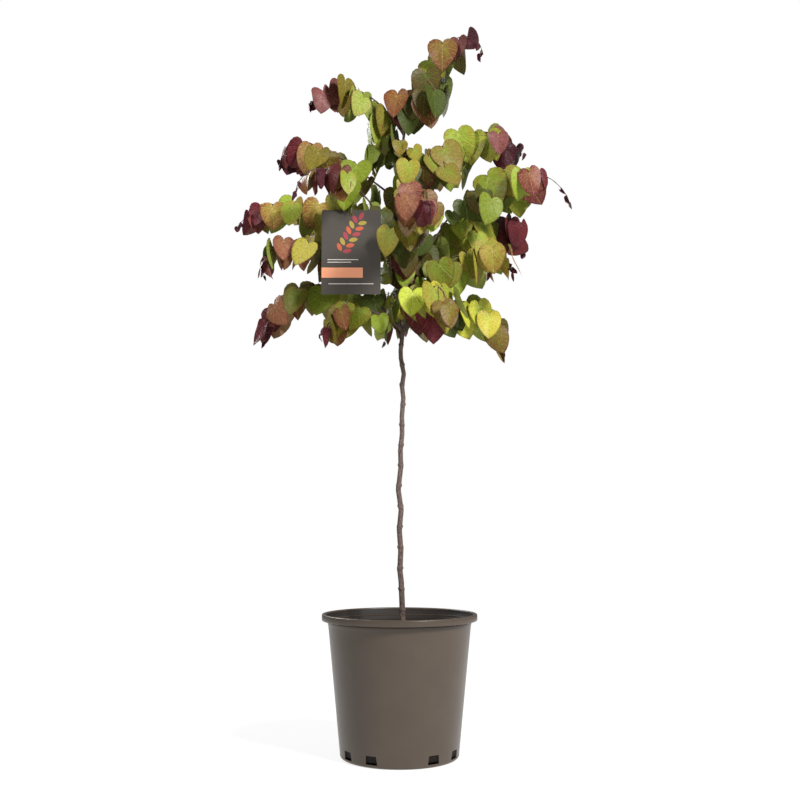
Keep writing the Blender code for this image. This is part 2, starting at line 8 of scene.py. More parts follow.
import bpy
import numpy as np
from bpy.types import ID, Material, Node, NodeSocket, Object
from numpy import ndarray
from numpy.random import Generator
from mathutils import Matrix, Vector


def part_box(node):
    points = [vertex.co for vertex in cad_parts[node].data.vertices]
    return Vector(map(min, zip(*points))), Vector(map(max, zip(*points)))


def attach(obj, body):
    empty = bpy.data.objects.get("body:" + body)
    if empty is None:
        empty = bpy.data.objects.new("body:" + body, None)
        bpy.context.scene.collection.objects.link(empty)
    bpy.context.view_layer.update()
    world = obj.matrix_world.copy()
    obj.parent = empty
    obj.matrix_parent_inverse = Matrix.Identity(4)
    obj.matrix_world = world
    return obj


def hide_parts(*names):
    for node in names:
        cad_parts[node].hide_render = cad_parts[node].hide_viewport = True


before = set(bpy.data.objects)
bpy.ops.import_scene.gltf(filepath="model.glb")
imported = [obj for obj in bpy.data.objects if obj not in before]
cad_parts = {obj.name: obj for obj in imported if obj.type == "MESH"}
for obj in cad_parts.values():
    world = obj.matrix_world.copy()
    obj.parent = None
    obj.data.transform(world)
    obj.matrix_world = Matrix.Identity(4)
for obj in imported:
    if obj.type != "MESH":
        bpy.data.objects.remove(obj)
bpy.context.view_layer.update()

log = logging.getLogger("redbud")

UP = np.array([0.0, 0.0, 1.0])
BACK = np.array([0.0, 1.0, 0.0])
MM = 0.001
BAKE_MAP = "OFBake"
MAP_CELLS = 3  # the leaf map has this many square cells each way
UPPER_CELLS = 6  # the first of them hold the patterns of upper faces, and the rest of undersides
CELL_MM = 80.0  # the side of a cell
MAP_MM = MAP_CELLS * CELL_MM
STALK_AT_MM = 61.0  # how high above a cell's foot the stalk joins its blade
TINY = 1e-9
STRAIGHT = 1e-3  # a bend weaker than this, per metre, counts as none


def linear(colour: str, dim: float = 1.0) -> tuple[float, ...]:
    """Turns an sRGB hex colour to linear light.

    Args:
        colour: six hex digits after a hash, such as "#7a8630".
        dim: what its light is multiplied by.

    Returns:
        Red, green, blue and an alpha of one.
    """
    parts = [int(colour[i : i + 2], 16) / 255.0 for i in (1, 3, 5)]
    bent = [c / 12.92 if c <= 0.04045 else ((c + 0.055) / 1.055) ** 2.4 for c in parts]
    return (*(dim * c for c in bent), 1.0)


def per_metre(size_mm: float) -> float:
    """How many clouds or cells of a size in millimetres go into a metre."""
    return 1.0 / (size_mm * MM)


class Graph:
    """A new material with a Principled shader, and the nodes that are added to it."""

    def __init__(self, name: str) -> None:
        """Makes the material.

        Args:
            name: its name.
        """
        self.material = bpy.data.materials.new(name)
        self.material.use_nodes = True
        self.tree = self.material.node_tree

    def _feed(self, taker: Node, links: dict) -> None:
        """Gives a node's sockets what goes into them.

        Args:
            taker: the node.
            links: for each of its sockets, an output or a constant.
        """
        for name, value in links.items():
            if isinstance(value, NodeSocket):
                self.tree.links.new(value, taker.inputs[name])
            else:
                taker.inputs[name].default_value = value

    def node(self, kind: str, links: dict | tuple = (), output: str | int = 0, **settings: str) -> NodeSocket:
        """Adds one node with its settings and links.

        Args:
            kind: the node's Blender name, without its first word.
            links: what goes into its sockets, by name or number, or in their own order.
            output: the name or number of the output that is wanted.
            settings: values of the node's own properties.

        Returns:
            That output.
        """
        made = self.tree.nodes.new(f"ShaderNode{kind}")
        for name, value in settings.items():
            setattr(made, name, value)
        self._feed(made, links if isinstance(links, dict) else dict(enumerate(links)))
        return made.outputs[output]

    def dress(self, links: dict) -> Material:
        """Feeds the Principled shader, and gives the finished material."""
        self._feed(self.tree.nodes["Principled BSDF"], links)
        return self.material


def unit(vectors: ndarray) -> ndarray:
    """Scales vectors along the last axis to a length of one."""
    return vectors / np.maximum(np.linalg.norm(vectors, axis=-1, keepdims=True), TINY)


def smooth(low: float, high: float, value: ndarray | float) -> ndarray:
    """A smooth step from 0 at low to 1 at high: 3t squared less 2t cubed."""
    t = np.clip((value - low) / (high - low), 0.0, 1.0)
    return t * t * (3.0 - 2.0 * t)


def over(value: ndarray, bend: ndarray, straight: ndarray | float) -> ndarray:
    """A value over a bend, or what it comes to where the bend is too weak to count."""
    return np.where(np.abs(bend) < STRAIGHT, straight, value / np.where(bend == 0, 1.0, bend))


def at(path: ndarray, share: float) -> ndarray:
    """The point on a path at a share of it from 0 to 1."""
    own = np.linspace(0.0, 1.0, len(path))
    return np.array([np.interp(share, own, path[:, axis]) for axis in range(3)])


def ring(count: int) -> ndarray:
    """Turns at even steps right round."""
    return np.linspace(0.0, math.tau, count, endpoint=False)


def grid_faces(rows: int, columns: int) -> ndarray:
    """Quads between the points of a grid whose rows follow each other, each closed on itself.

    Args:
        rows: how many rows of points there are.
        columns: how many points a row has.

    Returns:
        Corner numbers as (face, 4), outward where rows run along and columns run left-handed.
    """
    across = np.arange(columns)
    along = np.arange(rows - 1)[:, None] * columns
    here, beside = along + across, along + (across + 1) % columns
    return np.stack([here, beside, beside + columns, here + columns], axis=-1).reshape(-1, 4)


def halves(quads: ndarray, turn: int = 0) -> ndarray:
    """Splits quads into triangles along the diagonal from one corner, 0 or 1."""
    quads = np.roll(quads, -turn, axis=1)
    return np.concatenate([quads[:, [0, 1, 2]], quads[:, [0, 2, 3]]])


def fan_faces(centre: int, first: int, columns: int, flip: bool = False) -> ndarray:
    """Triangles from one point to a closed row of points.

    Args:
        centre: the number of the point.
        first: the number of the row's first point.
        columns: how many points it has.
        flip: whether the triangles face the other way.

    Returns:
        Corner numbers as (face, 3).
    """
    here = np.arange(columns)
    after = (here + 1) % columns
    pair = (here, after) if flip else (after, here)
    return np.stack([np.full(columns, centre), first + pair[0], first + pair[1]], axis=-1)


def cap_faces(rows: int, columns: int, flip: bool = False) -> tuple[ndarray, ndarray]:
    """The fans that close a grid's first and last rows, from the two points that follow the grid."""
    last = rows * columns
    return fan_faces(last, 0, columns, flip), fan_faces(last + 1, last - columns, columns, not flip)


def slab_faces(count: int) -> tuple[ndarray, ndarray, ndarray]:
    """The faces of a slab between two outlines of as many points, one after the other.

    Args:
        count: how many points each outline has.

    Returns:
        Corner numbers of its walls, its front and its back.
    """
    here = np.arange(count)
    after = (here + 1) % count
    walls = np.stack([here, here + count, after + count, after], axis=-1)
    return walls, here[None, :], (here + count)[None, ::-1]


def put(name: str, data: ID) -> Object:
    """Puts a new object into the scene.

    Args:
        name: its name.
        data: its mesh, lamp or camera.

    Returns:
        The object.
    """
    made = bpy.data.objects.new(name, data)
    bpy.context.collection.objects.link(made)
    return made


@dataclass
class Shell:
    """Gathers points and faces of many parts, and makes one mesh object of them.

    Each part's faces are counted on from those before. A mapped part lies in square cells of
    the map, one cell for each of its materials.
    """

    points: list = field(default_factory=list)
    maps: list = field(default_factory=list)
    margins: list = field(default_factory=list)
    faces: list = field(default_factory=list)
    total: int = 0

    def add(
        self, points: ndarray, faces: list, flat: ndarray | None = None, margin: ndarray | None = None,
        cells: tuple = (0, 0),
    ) -> None:
        """Adds one part.

        Args:
            points: its points, as (point, 3).
            faces: pairs of corner numbers, as (face, corner), and the material's number.
            flat: map coordinates of each point within its cell, as (point, 2).
            margin: how near each point is to an edge, from 0 to 1.
            cells: the map cell for the faces of each material.
        """
        self.points.append(points)
        self.maps.append(np.zeros((len(points), 2)) if flat is None else flat)
        self.margins.append(np.zeros(len(points)) if margin is None else margin)
        for corners, finish in faces:
            self.faces.append((corners + self.total, finish, cells[min(finish, len(cells) - 1)]))
        self.total += len(points)

    def tube(
        self, path: ndarray, radii: ndarray, sides: int, guide: ndarray, relief: ndarray | None = None
    ) -> None:
        """Adds a closed tube along a path: each ring is a circle square to the path, times its relief.

        Args:
            path: points of the middle line, as (ring, 3).
            radii: the radius at each.
            sides: how many points a ring has.
            guide: a direction that the path never follows, which the rings are turned by.
            relief: how many times its radius each point stands out, as (ring, side).
        """
        rows = len(path)
        along = unit(np.gradient(path, axis=0))
        side = unit(np.cross(along, guide))
        other = np.cross(along, side)
        turn = ring(sides)[None, :, None]
        out = np.cos(turn) * side[:, None] + np.sin(turn) * other[:, None]
        reach = radii[:, None] * (1.0 if relief is None else relief)
        rings = path[:, None] + np.broadcast_to(reach, (rows, sides))[..., None] * out
        points = np.concatenate([rings.reshape(-1, 3), path[:1], path[-1:]])
        self.add(points, [(part, 0) for part in (grid_faces(rows, sides), *cap_faces(rows, sides))])

    def build(
        self, name: str, materials: list[Material], sharp: float | None = None, mapped: bool = False
    ) -> Object:
        """Makes the mesh object, smooth-shaded, with its place in its mesh.

        Args:
            name: the piece's name.
            materials: its materials, in the order that the faces number them.
            sharp: the angle between faces, in degrees, from which an edge stays sharp.
            mapped: whether it keeps its map and margin values.

        Returns:
            The new object.
        """
        mesh = bpy.data.meshes.new(name)
        corners = [row for part, _, _ in self.faces for row in part.tolist()]
        mesh.from_pydata(np.concatenate(self.points).tolist(), [], corners)
        finishes = np.concatenate([np.full(len(part), finish) for part, finish, _ in self.faces])
        mesh.polygons.foreach_set("material_index", finishes.astype(np.int32))
        if mapped:
            turns = np.zeros(len(mesh.loops), dtype=np.int32)
            mesh.loops.foreach_get("vertex_index", turns)
            cell = np.concatenate([np.full(part.size, number) for part, _, number in self.faces])
            corner = np.stack([cell % MAP_CELLS, cell // MAP_CELLS], axis=-1)
            places = (np.concatenate(self.maps)[turns] + corner) / MAP_CELLS
            layer = mesh.uv_layers.new(name=BAKE_MAP)
            layer.data.foreach_set("uv", places.astype(np.float32).ravel())
            values = mesh.attributes.new("margin", "FLOAT", "POINT")
            values.data.foreach_set("value", np.concatenate(self.margins).astype(np.float32))
        for material in materials:
            mesh.materials.append(material)
        mesh.shade_smooth()
        mesh.update()
        if sharp is not None:
            mesh.set_sharp_from_angle(angle=math.radians(sharp))
        return put(name, mesh)


@dataclass(frozen=True)
class LeafFinish:
    """One tint of redbud leaf: a thin matt-waxy blade with paler veins that fan from its stalk.

    The eye sees a soft sheen, a flush of a second colour that spreads in from the edge, and a
    dull, paler underside. Each cell of the map holds the same veins with another flush.
    """

    name: str
    blade: str
    flush: str
    vein: str
    underside: str
    crumple: float = 0.0
    bump_mm: float = 0.9
    roughness: float = 0.46
    specular: float = 0.22
    under_roughness: float = 0.62
    under_specular: float = 0.20
    vein_turn: float = math.radians(33.0)
    vein_width_mm: float = 1.1  # drawn about four times its real width, so that it shows
    vein_share: float = 0.72
    rib_spacing_mm: float = 7.5
    rib_slant: float = -0.8
    rib_share: float = 0.35
    mottle_mm: float = 13.0
    speckle_mm: float = 5.5
    flush_mottle: float = 1.5
    flush_margin: float = 0.55
    flush_span: tuple = (1.35, 2.25)
    pale_span: tuple = (0.48, 0.74)
    pale_share: float = 0.38
    dull_span: tuple = (0.47, 0.27)
    dull_share: float = 0.50
    dark: float = 0.45  # the light of dull spots and of the rim, beside the flush colour's
    rim_span: tuple = (0.91, 1.0)
    rim_share: float = 0.6

    def _veins(self, graph: Graph, own: NodeSocket) -> NodeSocket:
        """Adds nodes that draw the veins: lines at even turns round the stalk, and fine ribs.

        Args:
            graph: the material's nodes.
            own: a point's place in its map cell.

        Returns:
            How much of a vein there is, from 0 to 1.
        """
        node = graph.node
        wide, high, _ = node("SeparateXYZ", (own,)).node.outputs
        across = node("Math", (wide, 0.5), operation="SUBTRACT")
        across = node("Math", (across, CELL_MM), operation="MULTIPLY")
        down = node("Math", (high, CELL_MM), operation="MULTIPLY")
        down = node("Math", (STALK_AT_MM, down), operation="SUBTRACT")
        square = node("Math", (across, across), operation="MULTIPLY")
        reach = node("Math", (down, down, square), operation="MULTIPLY_ADD")
        reach = node("Math", (reach, 0.5), operation="POWER")
        turn = node("Math", (across, down), operation="ARCTAN2")
        turn = node("Math", (turn, self.vein_turn), operation="DIVIDE")
        off = node("Math", (turn, node("Math", (turn,), operation="ROUND")), operation="SUBTRACT")
        off = node("Math", (node("Math", (off,), operation="ABSOLUTE"), reach), operation="MULTIPLY")
        span = (0.0, self.vein_width_mm / self.vein_turn, 1.0, 0.0)
        main = node("MapRange", (off, *span), interpolation_type="SMOOTHSTEP")
        aside = node("Math", (across,), operation="ABSOLUTE")
        slant = node("Math", (aside, self.rib_slant, down), operation="MULTIPLY_ADD")
        rib = node("Math", (slant, self.rib_spacing_mm), operation="PINGPONG")
        span = (0.0, self.vein_width_mm, self.rib_share, 0.0)
        rib = node("MapRange", (rib, *span), interpolation_type="SMOOTHSTEP")
        return node("Math", (main, rib), operation="MAXIMUM")

    def _plan(self, graph: Graph) -> tuple[NodeSocket, NodeSocket, NodeSocket]:
        """Adds nodes that read the leaf's own map.

        Args:
            graph: the material's nodes.

        Returns:
            A point's place on the map, its cell, and how much of a vein there is.
        """
        flat = graph.node("UVMap", uv_map=BAKE_MAP)
        wide = graph.node("VectorMath", (flat, (MAP_CELLS,) * 3), operation="MULTIPLY")
        cell, own = (graph.node("VectorMath", (wide,), operation=part) for part in ("FLOOR", "FRACTION"))
        return flat, cell, self._veins(graph, own)

    def upper(self) -> Material:
        """Makes the upper face's material, which reads the leaf's map and margin values.

        Returns:
            The material.
        """
        graph = Graph(f"redbud_leaf_{self.name}")
        node = graph.node
        flat, cell, veins = self._plan(graph)
        clouds = {"Vector": flat, "Scale": MAP_MM / self.mottle_mm, "Detail": 4.0, "Roughness": 0.62}
        mottle = node("TexNoise", clouds)
        margin = node("Attribute", output="Fac", attribute_name="margin")
        chance = node("TexWhiteNoise", {"Vector": cell}, noise_dimensions="2D")
        spread = node("Math", (mottle, self.flush_mottle, chance), operation="MULTIPLY_ADD")
        spread = node("Math", (margin, self.flush_margin, spread), operation="MULTIPLY_ADD")
        flush = node("MapRange", (spread, *self.flush_span), interpolation_type="SMOOTHSTEP")
        body = node("Mix", {0: flush, 6: linear(self.blade), 7: linear(self.flush)}, 2, data_type="RGBA")
        clouds = {"Vector": flat, "Scale": MAP_MM / self.speckle_mm, "Detail": 3.0, "Roughness": 0.6}
        speckle = node("TexNoise", clouds)
        pale = node("MapRange", (speckle, *self.pale_span, 0.0, self.pale_share))
        pale = node("Math", (veins, self.vein_share, pale), operation="MULTIPLY_ADD")
        body = node("Mix", {0: pale, 6: body, 7: linear(self.vein)}, 2, data_type="RGBA")
        dull = node("MapRange", (speckle, *self.dull_span, 0.0, self.dull_share))
        rim = node("MapRange", (margin, *self.rim_span, 0.0, self.rim_share))
        for share in (dull, rim):
            body = node("Mix", {0: share, 6: body, 7: linear(self.flush, self.dark)}, 2, data_type="RGBA")
        sunk = node("Math", (veins, -1.0, mottle), operation="MULTIPLY_ADD")
        relief = node("Bump", {"Height": sunk, "Distance": self.bump_mm * MM, "Strength": 0.8})
        gloss = {"Roughness": self.roughness, "Specular IOR Level": self.specular}
        return graph.dress({"Base Color": body, "Normal": relief, **gloss})

    def lower(self) -> Material:
        """Makes the underside's material: duller, with the veins standing out.

        Returns:
            The material.
        """
        graph = Graph(f"redbud_leaf_underside_{self.name}")
        node = graph.node
        veins = self._plan(graph)[2]
        faint = node("Math", (veins, 0.5), operation="MULTIPLY")
        colour = node("Mix", {0: faint, 6: linear(self.underside), 7: linear(self.vein)}, 2, data_type="RGBA")
        relief = node("Bump", {"Height": veins, "Distance": self.bump_mm * MM, "Strength": 0.9})
        gloss = {"Roughness": self.under_roughness, "Specular IOR Level": self.under_specular}
        return graph.dress({"Base Color": colour, "Normal": relief, **gloss})


class Tone(Enum):
    """The tints that the leaves are dealt in, spray by spray: red at the tips, green inside."""

    DEEP = LeafFinish("deep_green", "#3a4514", "#4e3c18", "#5d6b26", "#5f6830")
    GREEN = LeafFinish("green", "#6c7a1e", "#765e21", "#8c9a3c", "#7a8438")
    FRESH = LeafFinish("fresh_green", "#85982c", "#907c2c", "#a8b450", "#929a48")
    LIME = LeafFinish("lime", "#aeba34", "#b4a434", "#cfd470", "#a6b054")
    STRAW = LeafFinish("straw", "#a09638", "#8e5c2e", "#c4b868", "#a89a5c")
    OLIVE = LeafFinish("olive", "#70641f", "#6a3c24", "#968a46", "#807644", 0.1)
    BRONZE = LeafFinish("bronze", "#7a5224", "#682c24", "#a07c46", "#88703f", 0.2, 0.7)
    COPPER = LeafFinish("copper", "#8c5a3c", "#703430", "#b28662", "#9e7a58", 0.35, 0.8)
    MAUVE = LeafFinish("mauve", "#74403e", "#5e3028", "#9a645e", "#885850", 0.25, 0.8)
    WINE = LeafFinish("wine", "#5c1c24", "#4a2018", "#7e3e3e", "#77403c", 0.55, 1.2)
    MAROON = LeafFinish("maroon", "#3a1017", "#521626", "#6c383e", "#5e343a", 1.0, 1.8)


def tones_of(words: str) -> list[Tone]:
    """The tints that a row of words names."""
    return [Tone[word.upper()] for word in words.split()]


def level(azimuth: float) -> ndarray:
    """The level direction at an azimuth in degrees."""
    turn = math.radians(azimuth)
    return np.array([math.cos(turn), math.sin(turn), 0.0])


@dataclass(frozen=True)
class Bough:
    """One limb as the CAD model has it, and the tints of its leaves from the stem to its tip.

    Its slope runs from rise to fall. It is clothed from a share of its length to the last one.
    """

    name: str
    height: float
    azimuth: float
    length: float
    rise: float
    fall: float
    bend: float
    clothed: float
    size: float
    tones: str
    inner: int = 3
    last: float = 1.0
    drop: float = 0.0


BOUGH_ROWS = (
    ("top", 1.258, -5, 0.29, 68, -105, 4.0, 0.16, 1.0,
     "deep olive deep green green olive mauve maroon", 1, 0.9),
    ("left_top", 1.23, 183, 0.246, 56, -68, 2.1, 0.24, 0.88,
     "fresh green fresh olive mauve mauve maroon", 2),
    ("left_high", 1.085, 170, 0.315, 40, -75, 4.5, 0.35, 0.92, "green bronze olive straw wine maroon", 2),
    ("left_middle", 0.96, 184, 0.38, 41, -58, 2.3, 0.45, 0.84,
     "fresh green straw fresh straw wine maroon", 4),
    ("left_inner", 0.905, 194, 0.34, 32, -100, 3.1, 0.42, 0.82, "deep olive straw copper green mauve wine"),
    ("left_low", 0.805, 168, 0.4, 66, -85, 1.3, 0.42, 0.9, "green fresh olive green copper wine wine"),
    ("right_high", 1.085, 10, 0.34, 66, -50, 1.8, 0.27, 0.98,
     "olive green green fresh fresh mauve maroon", 1),
    ("right_long", 0.88, -3, 0.505, 63, -78, 2.9, 0.5, 0.96, "deep green green fresh copper wine", 3, 0.88),
    ("right_middle", 0.945, 20, 0.35, 46, -82, 2.6, 0.42, 0.92,
     "green fresh fresh green wine wine maroon", 2),
    ("right_inner", 0.862, -17, 0.295, 50, -80, 2.5, 0.36, 0.92, "green fresh fresh fresh straw wine", 2),
    ("right_low", 0.82, 6, 0.275, 56, -90, 1.2, 0.36, 0.92, "deep lime lime lime olive bronze", 2),
    ("front_left", 0.975, 226, 0.355, 50, -78, 2.3, 0.48, 0.84,
     "fresh fresh bronze wine wine maroon", 3, 0.8, 0.004),
    ("front_middle", 0.915, -80, 0.36, 54, -70, 1.9, 0.34, 0.9,
     "deep green fresh olive copper wine", 3, 0.95, 0.016),
    ("front_low", 0.842, -66, 0.25, 34, -80, 1.8, 0.36, 0.92,
     "green lime fresh olive wine", 2, 0.95, 0.016),
    ("front_left_low", 0.826, 216, 0.215, 26, -75, 1.8, 0.4, 0.84, "green fresh green bronze wine", 2),
    ("back_top", 1.15, 112, 0.22, 60, -62, 2.0, 0.26, 0.82, "deep deep green fresh olive", 1),
    ("back_high", 1.1, 78, 0.36, 52, -70, 2.4, 0.3, 0.92, "deep green fresh olive mauve wine", 2),
    ("back_left", 0.975, 130, 0.395, 48, -80, 2.4, 0.4, 0.96, "deep green fresh straw mauve maroon"),
    ("back_right", 0.905, 52, 0.395, 52, -80, 2.4, 0.4, 0.96, "deep green fresh olive copper wine"),
    ("back_low", 0.854, 98, 0.32, 42, -84, 1.8, 0.38, 0.92, "deep deep green olive bronze wine", 2),
)
BOUGHS = tuple(Bough(*row) for row in BOUGH_ROWS)


@dataclass(frozen=True)
class Tuft:
    """A mass of short shoots beside the stem, as the CAD model has it."""

    name: str
    centre: tuple[float, float, float]
    half: tuple[float, float, float]
    tones: str


TUFTS = (
    Tuft("centre_high", (0.021, -0.033, 1.125), (0.044, 0.042, 0.055), "fresh fresh green deep"),
    Tuft("centre_front", (0.036, -0.030, 0.990), (0.046, 0.044, 0.055), "bronze green wine deep"),
    Tuft("centre_left", (-0.052, -0.010, 1.060), (0.048, 0.044, 0.060), "fresh green fresh deep"),
    Tuft("centre_back", (0.010, 0.058, 1.010), (0.046, 0.046, 0.065), "deep green deep olive"),
)


@dataclass(frozen=True)
class Spur:
    """A short shoot straight from the stem: where it leaves, where it points, and its leaves."""

    height: float
    azimuth: float
    length: float
    rise: float
    size: float
    tones: str


SPURS = (
    Spur(1.212, 190, 0.022, 0.006, 0.62, "deep deep deep"),
    Spur(1.205, 250, 0.016, 0.004, 0.50, "deep green"),
    Spur(1.190, -70, 0.020, 0.004, 0.56, "fresh"),
    Spur(1.252, 200, 0.010, 0.006, 0.36, "deep deep"),
    Spur(1.262, 235, 0.012, 0.052, 0.86, "wine bronze"),
    Spur(1.246, -30, 0.024, 0.050, 0.78, "deep olive deep"),
    Spur(1.170, 20, 0.030, 0.020, 0.60, "bronze wine green"),
    Spur(1.020, 70, 0.030, 0.010, 0.70, "deep deep green"),
    Spur(0.940, 215, 0.040, 0.020, 0.75, "green straw fresh"),
    Spur(0.900, -40, 0.035, 0.010, 0.70, "olive green"),
    Spur(0.860, 240, 0.030, 0.010, 0.72, "green straw green"),
    Spur(0.825, -65, 0.118, 0.026, 0.98, "wine"),
    Spur(0.850, 120, 0.030, 0.010, 0.70, "deep green"),
)


@dataclass
class Stem:
    """The stem's line and thickness, with the same sizes and rules as the CAD model's."""

    foot: float = 0.2333
    top: float = 1.2640
    fork: float = 0.8050
    foot_radius: float = 0.0056
    fork_radius: float = 0.0043
    top_radius: float = 0.0026
    flare: float = 0.0022
    flare_height: float = 0.0120
    node_spacing: float = 0.0400
    node_swing: float = 0.0013
    swing_spread: float = 0.8
    swing_change: float = 2.4
    swing_back: float = 0.4
    sway_back: float = 0.5
    sway_back_start: float = 1.1
    lean: float = 0.0042
    sway: float = 0.0028
    sway_length: float = 0.49
    kinks: tuple = (
        (0.2330, 0.0057), (0.2810, 0.0051), (0.3270, 0.0032), (0.3500, 0.0006), (0.3880, 0.0024),
        (0.4270, -0.0004), (0.4660, 0.0031), (0.5050, -0.0026), (0.5500, 0.0024), (0.5830, 0.0015),
        (0.6150, 0.0049), (0.6500, 0.0046), (0.6870, 0.0074), (0.7110, 0.0048), (0.7350, 0.0084),
        (0.7670, 0.0026), (0.7830, 0.0021), (0.8050, 0.0047),
    )

    def centre(self, height: ndarray | float) -> ndarray:
        """The middle line: a slow cosine sway plus a triangle wave with a corner at every node.

        Below the fork the bends across are measured ones instead.

        Args:
            height: heights above the floor.

        Returns:
            A point for each height.
        """
        height = np.asarray(height, dtype=float)
        above = height - self.foot
        sway = self.lean + self.sway * np.cos(math.tau * above / self.sway_length)
        place = above / self.node_spacing
        swing = self.node_swing * (1.0 - 2.0 * np.abs((place % 2.0) - 1.0))
        swing = swing * (1.0 + self.swing_spread * np.sin(self.swing_change * np.floor(place)))
        back = self.sway_back * self.sway * np.sin(math.tau * above / self.sway_length + self.sway_back_start)
        bends = np.interp(height, *zip(*self.kinks))
        across = np.where(height < self.fork, bends, sway + swing)
        return np.stack([across, back - self.swing_back * swing, height], axis=-1)

    def radius(self, height: ndarray | float) -> ndarray:
        """The radius: an even taper to the fork, a quicker one above it, and a flared foot.

        Args:
            height: heights above the floor.

        Returns:
            The radius at each.
        """
        height = np.asarray(height, dtype=float)
        places = [self.foot, self.fork, self.top]
        taper = np.interp(height, places, [self.foot_radius, self.fork_radius, self.top_radius])
        return taper + self.flare * np.exp(-(height - self.foot) / self.flare_height)


@dataclass(frozen=True)
class BarkFinish:
    """Young redbud bark: thin and smooth, grown with fine ridges and pale breathing pores.

    The eye sees matt grey-brown with lighter flecks and darker furrows along the limb.
    """

    name: str
    ground: str
    furrow: str
    fleck: str
    ridge_mm: float = 1.6
    fleck_mm: float = 2.2
    stretch: float = 0.22
    ridge_span: tuple = (0.38, 0.62)
    fleck_span: tuple = (0.16, 0.30)
    fleck_rise: float = 0.6
    relief_mm: float = 0.6
    roughness: float = 0.78

    def build(self) -> Material:
        """Makes the bark's material, on Object coordinates drawn out along Z.

        Returns:
            The material.
        """
        graph = Graph(self.name)
        node = graph.node
        place = node("TexCoord", output="Object")
        drawn = node("Mapping", {"Vector": place, "Scale": (1.0, 1.0, self.stretch)})
        clouds = {"Vector": drawn, "Scale": per_metre(self.ridge_mm), "Detail": 4.0, "Roughness": 0.6}
        ridges = node("TexNoise", clouds)
        high = node("MapRange", (ridges, *self.ridge_span))
        colour = node("Mix", {0: high, 6: linear(self.furrow), 7: linear(self.ground)}, 2, data_type="RGBA")
        cells = node("TexVoronoi", {"Vector": place, "Scale": per_metre(self.fleck_mm)})
        fleck = node("MapRange", (cells, *self.fleck_span, 1.0, 0.0))
        colour = node("Mix", {0: fleck, 6: colour, 7: linear(self.fleck)}, 2, data_type="RGBA")
        rise = node("Math", (fleck, self.fleck_rise, ridges), operation="MULTIPLY_ADD")
        relief = node("Bump", {"Height": rise, "Distance": self.relief_mm * MM, "Strength": 0.9})
        return graph.dress({"Base Color": colour, "Roughness": self.roughness, "Normal": relief})


STEM_BARK = BarkFinish("redbud_stem_bark", "#6d5b52", "#402f28", "#a1928a")
BOUGH_BARK = BarkFinish("redbud_bough_bark", "#56423a", "#33231e", "#7d6a61", 1.2, 1.9)
TWIG_BARK = BarkFinish("redbud_twig_bark", "#583730", "#371d1a", "#75554c", 0.9, 1.6)


@dataclass(frozen=True)
class StalkFinish:
    """Leaf stalk: a smooth young shoot, green blushed with red where the light falls on it."""

    name: str = "redbud_leaf_stalk"
    green: str = "#8c8a4c"
    red: str = "#7d4a42"
    patch_mm: float = 45.0
    patch_span: tuple = (0.4, 0.6)
    roughness: float = 0.5

    def build(self) -> Material:
        """Makes the stalks' material.

        Returns:
            The material.
        """
        graph = Graph(self.name)
        node = graph.node
        place = node("TexCoord", output="Object")
        patch = node("TexNoise", {"Vector": place, "Scale": per_metre(self.patch_mm), "Detail": 1.0})
        share = node("MapRange", (patch, *self.patch_span))
        colour = node("Mix", {0: share, 6: linear(self.green), 7: linear(self.red)}, 2, data_type="RGBA")
        return graph.dress({"Base Color": colour, "Roughness": self.roughness})


@dataclass
class Leaf:
    """One leaf in its place: its frame, its size and how its blade is bent.

    It hangs by its base, and its stalk leaves the twig at a point and in a level direction.
    """

    base: ndarray
    down: ndarray
    face: ndarray
    size: float
    fold: float
    curl: float
    roll: float
    wave: float
    phase: float
    aspect: float
    skew: float
    tone: Tone
    cells: tuple[int, int]
    twig: ndarray
    level: ndarray


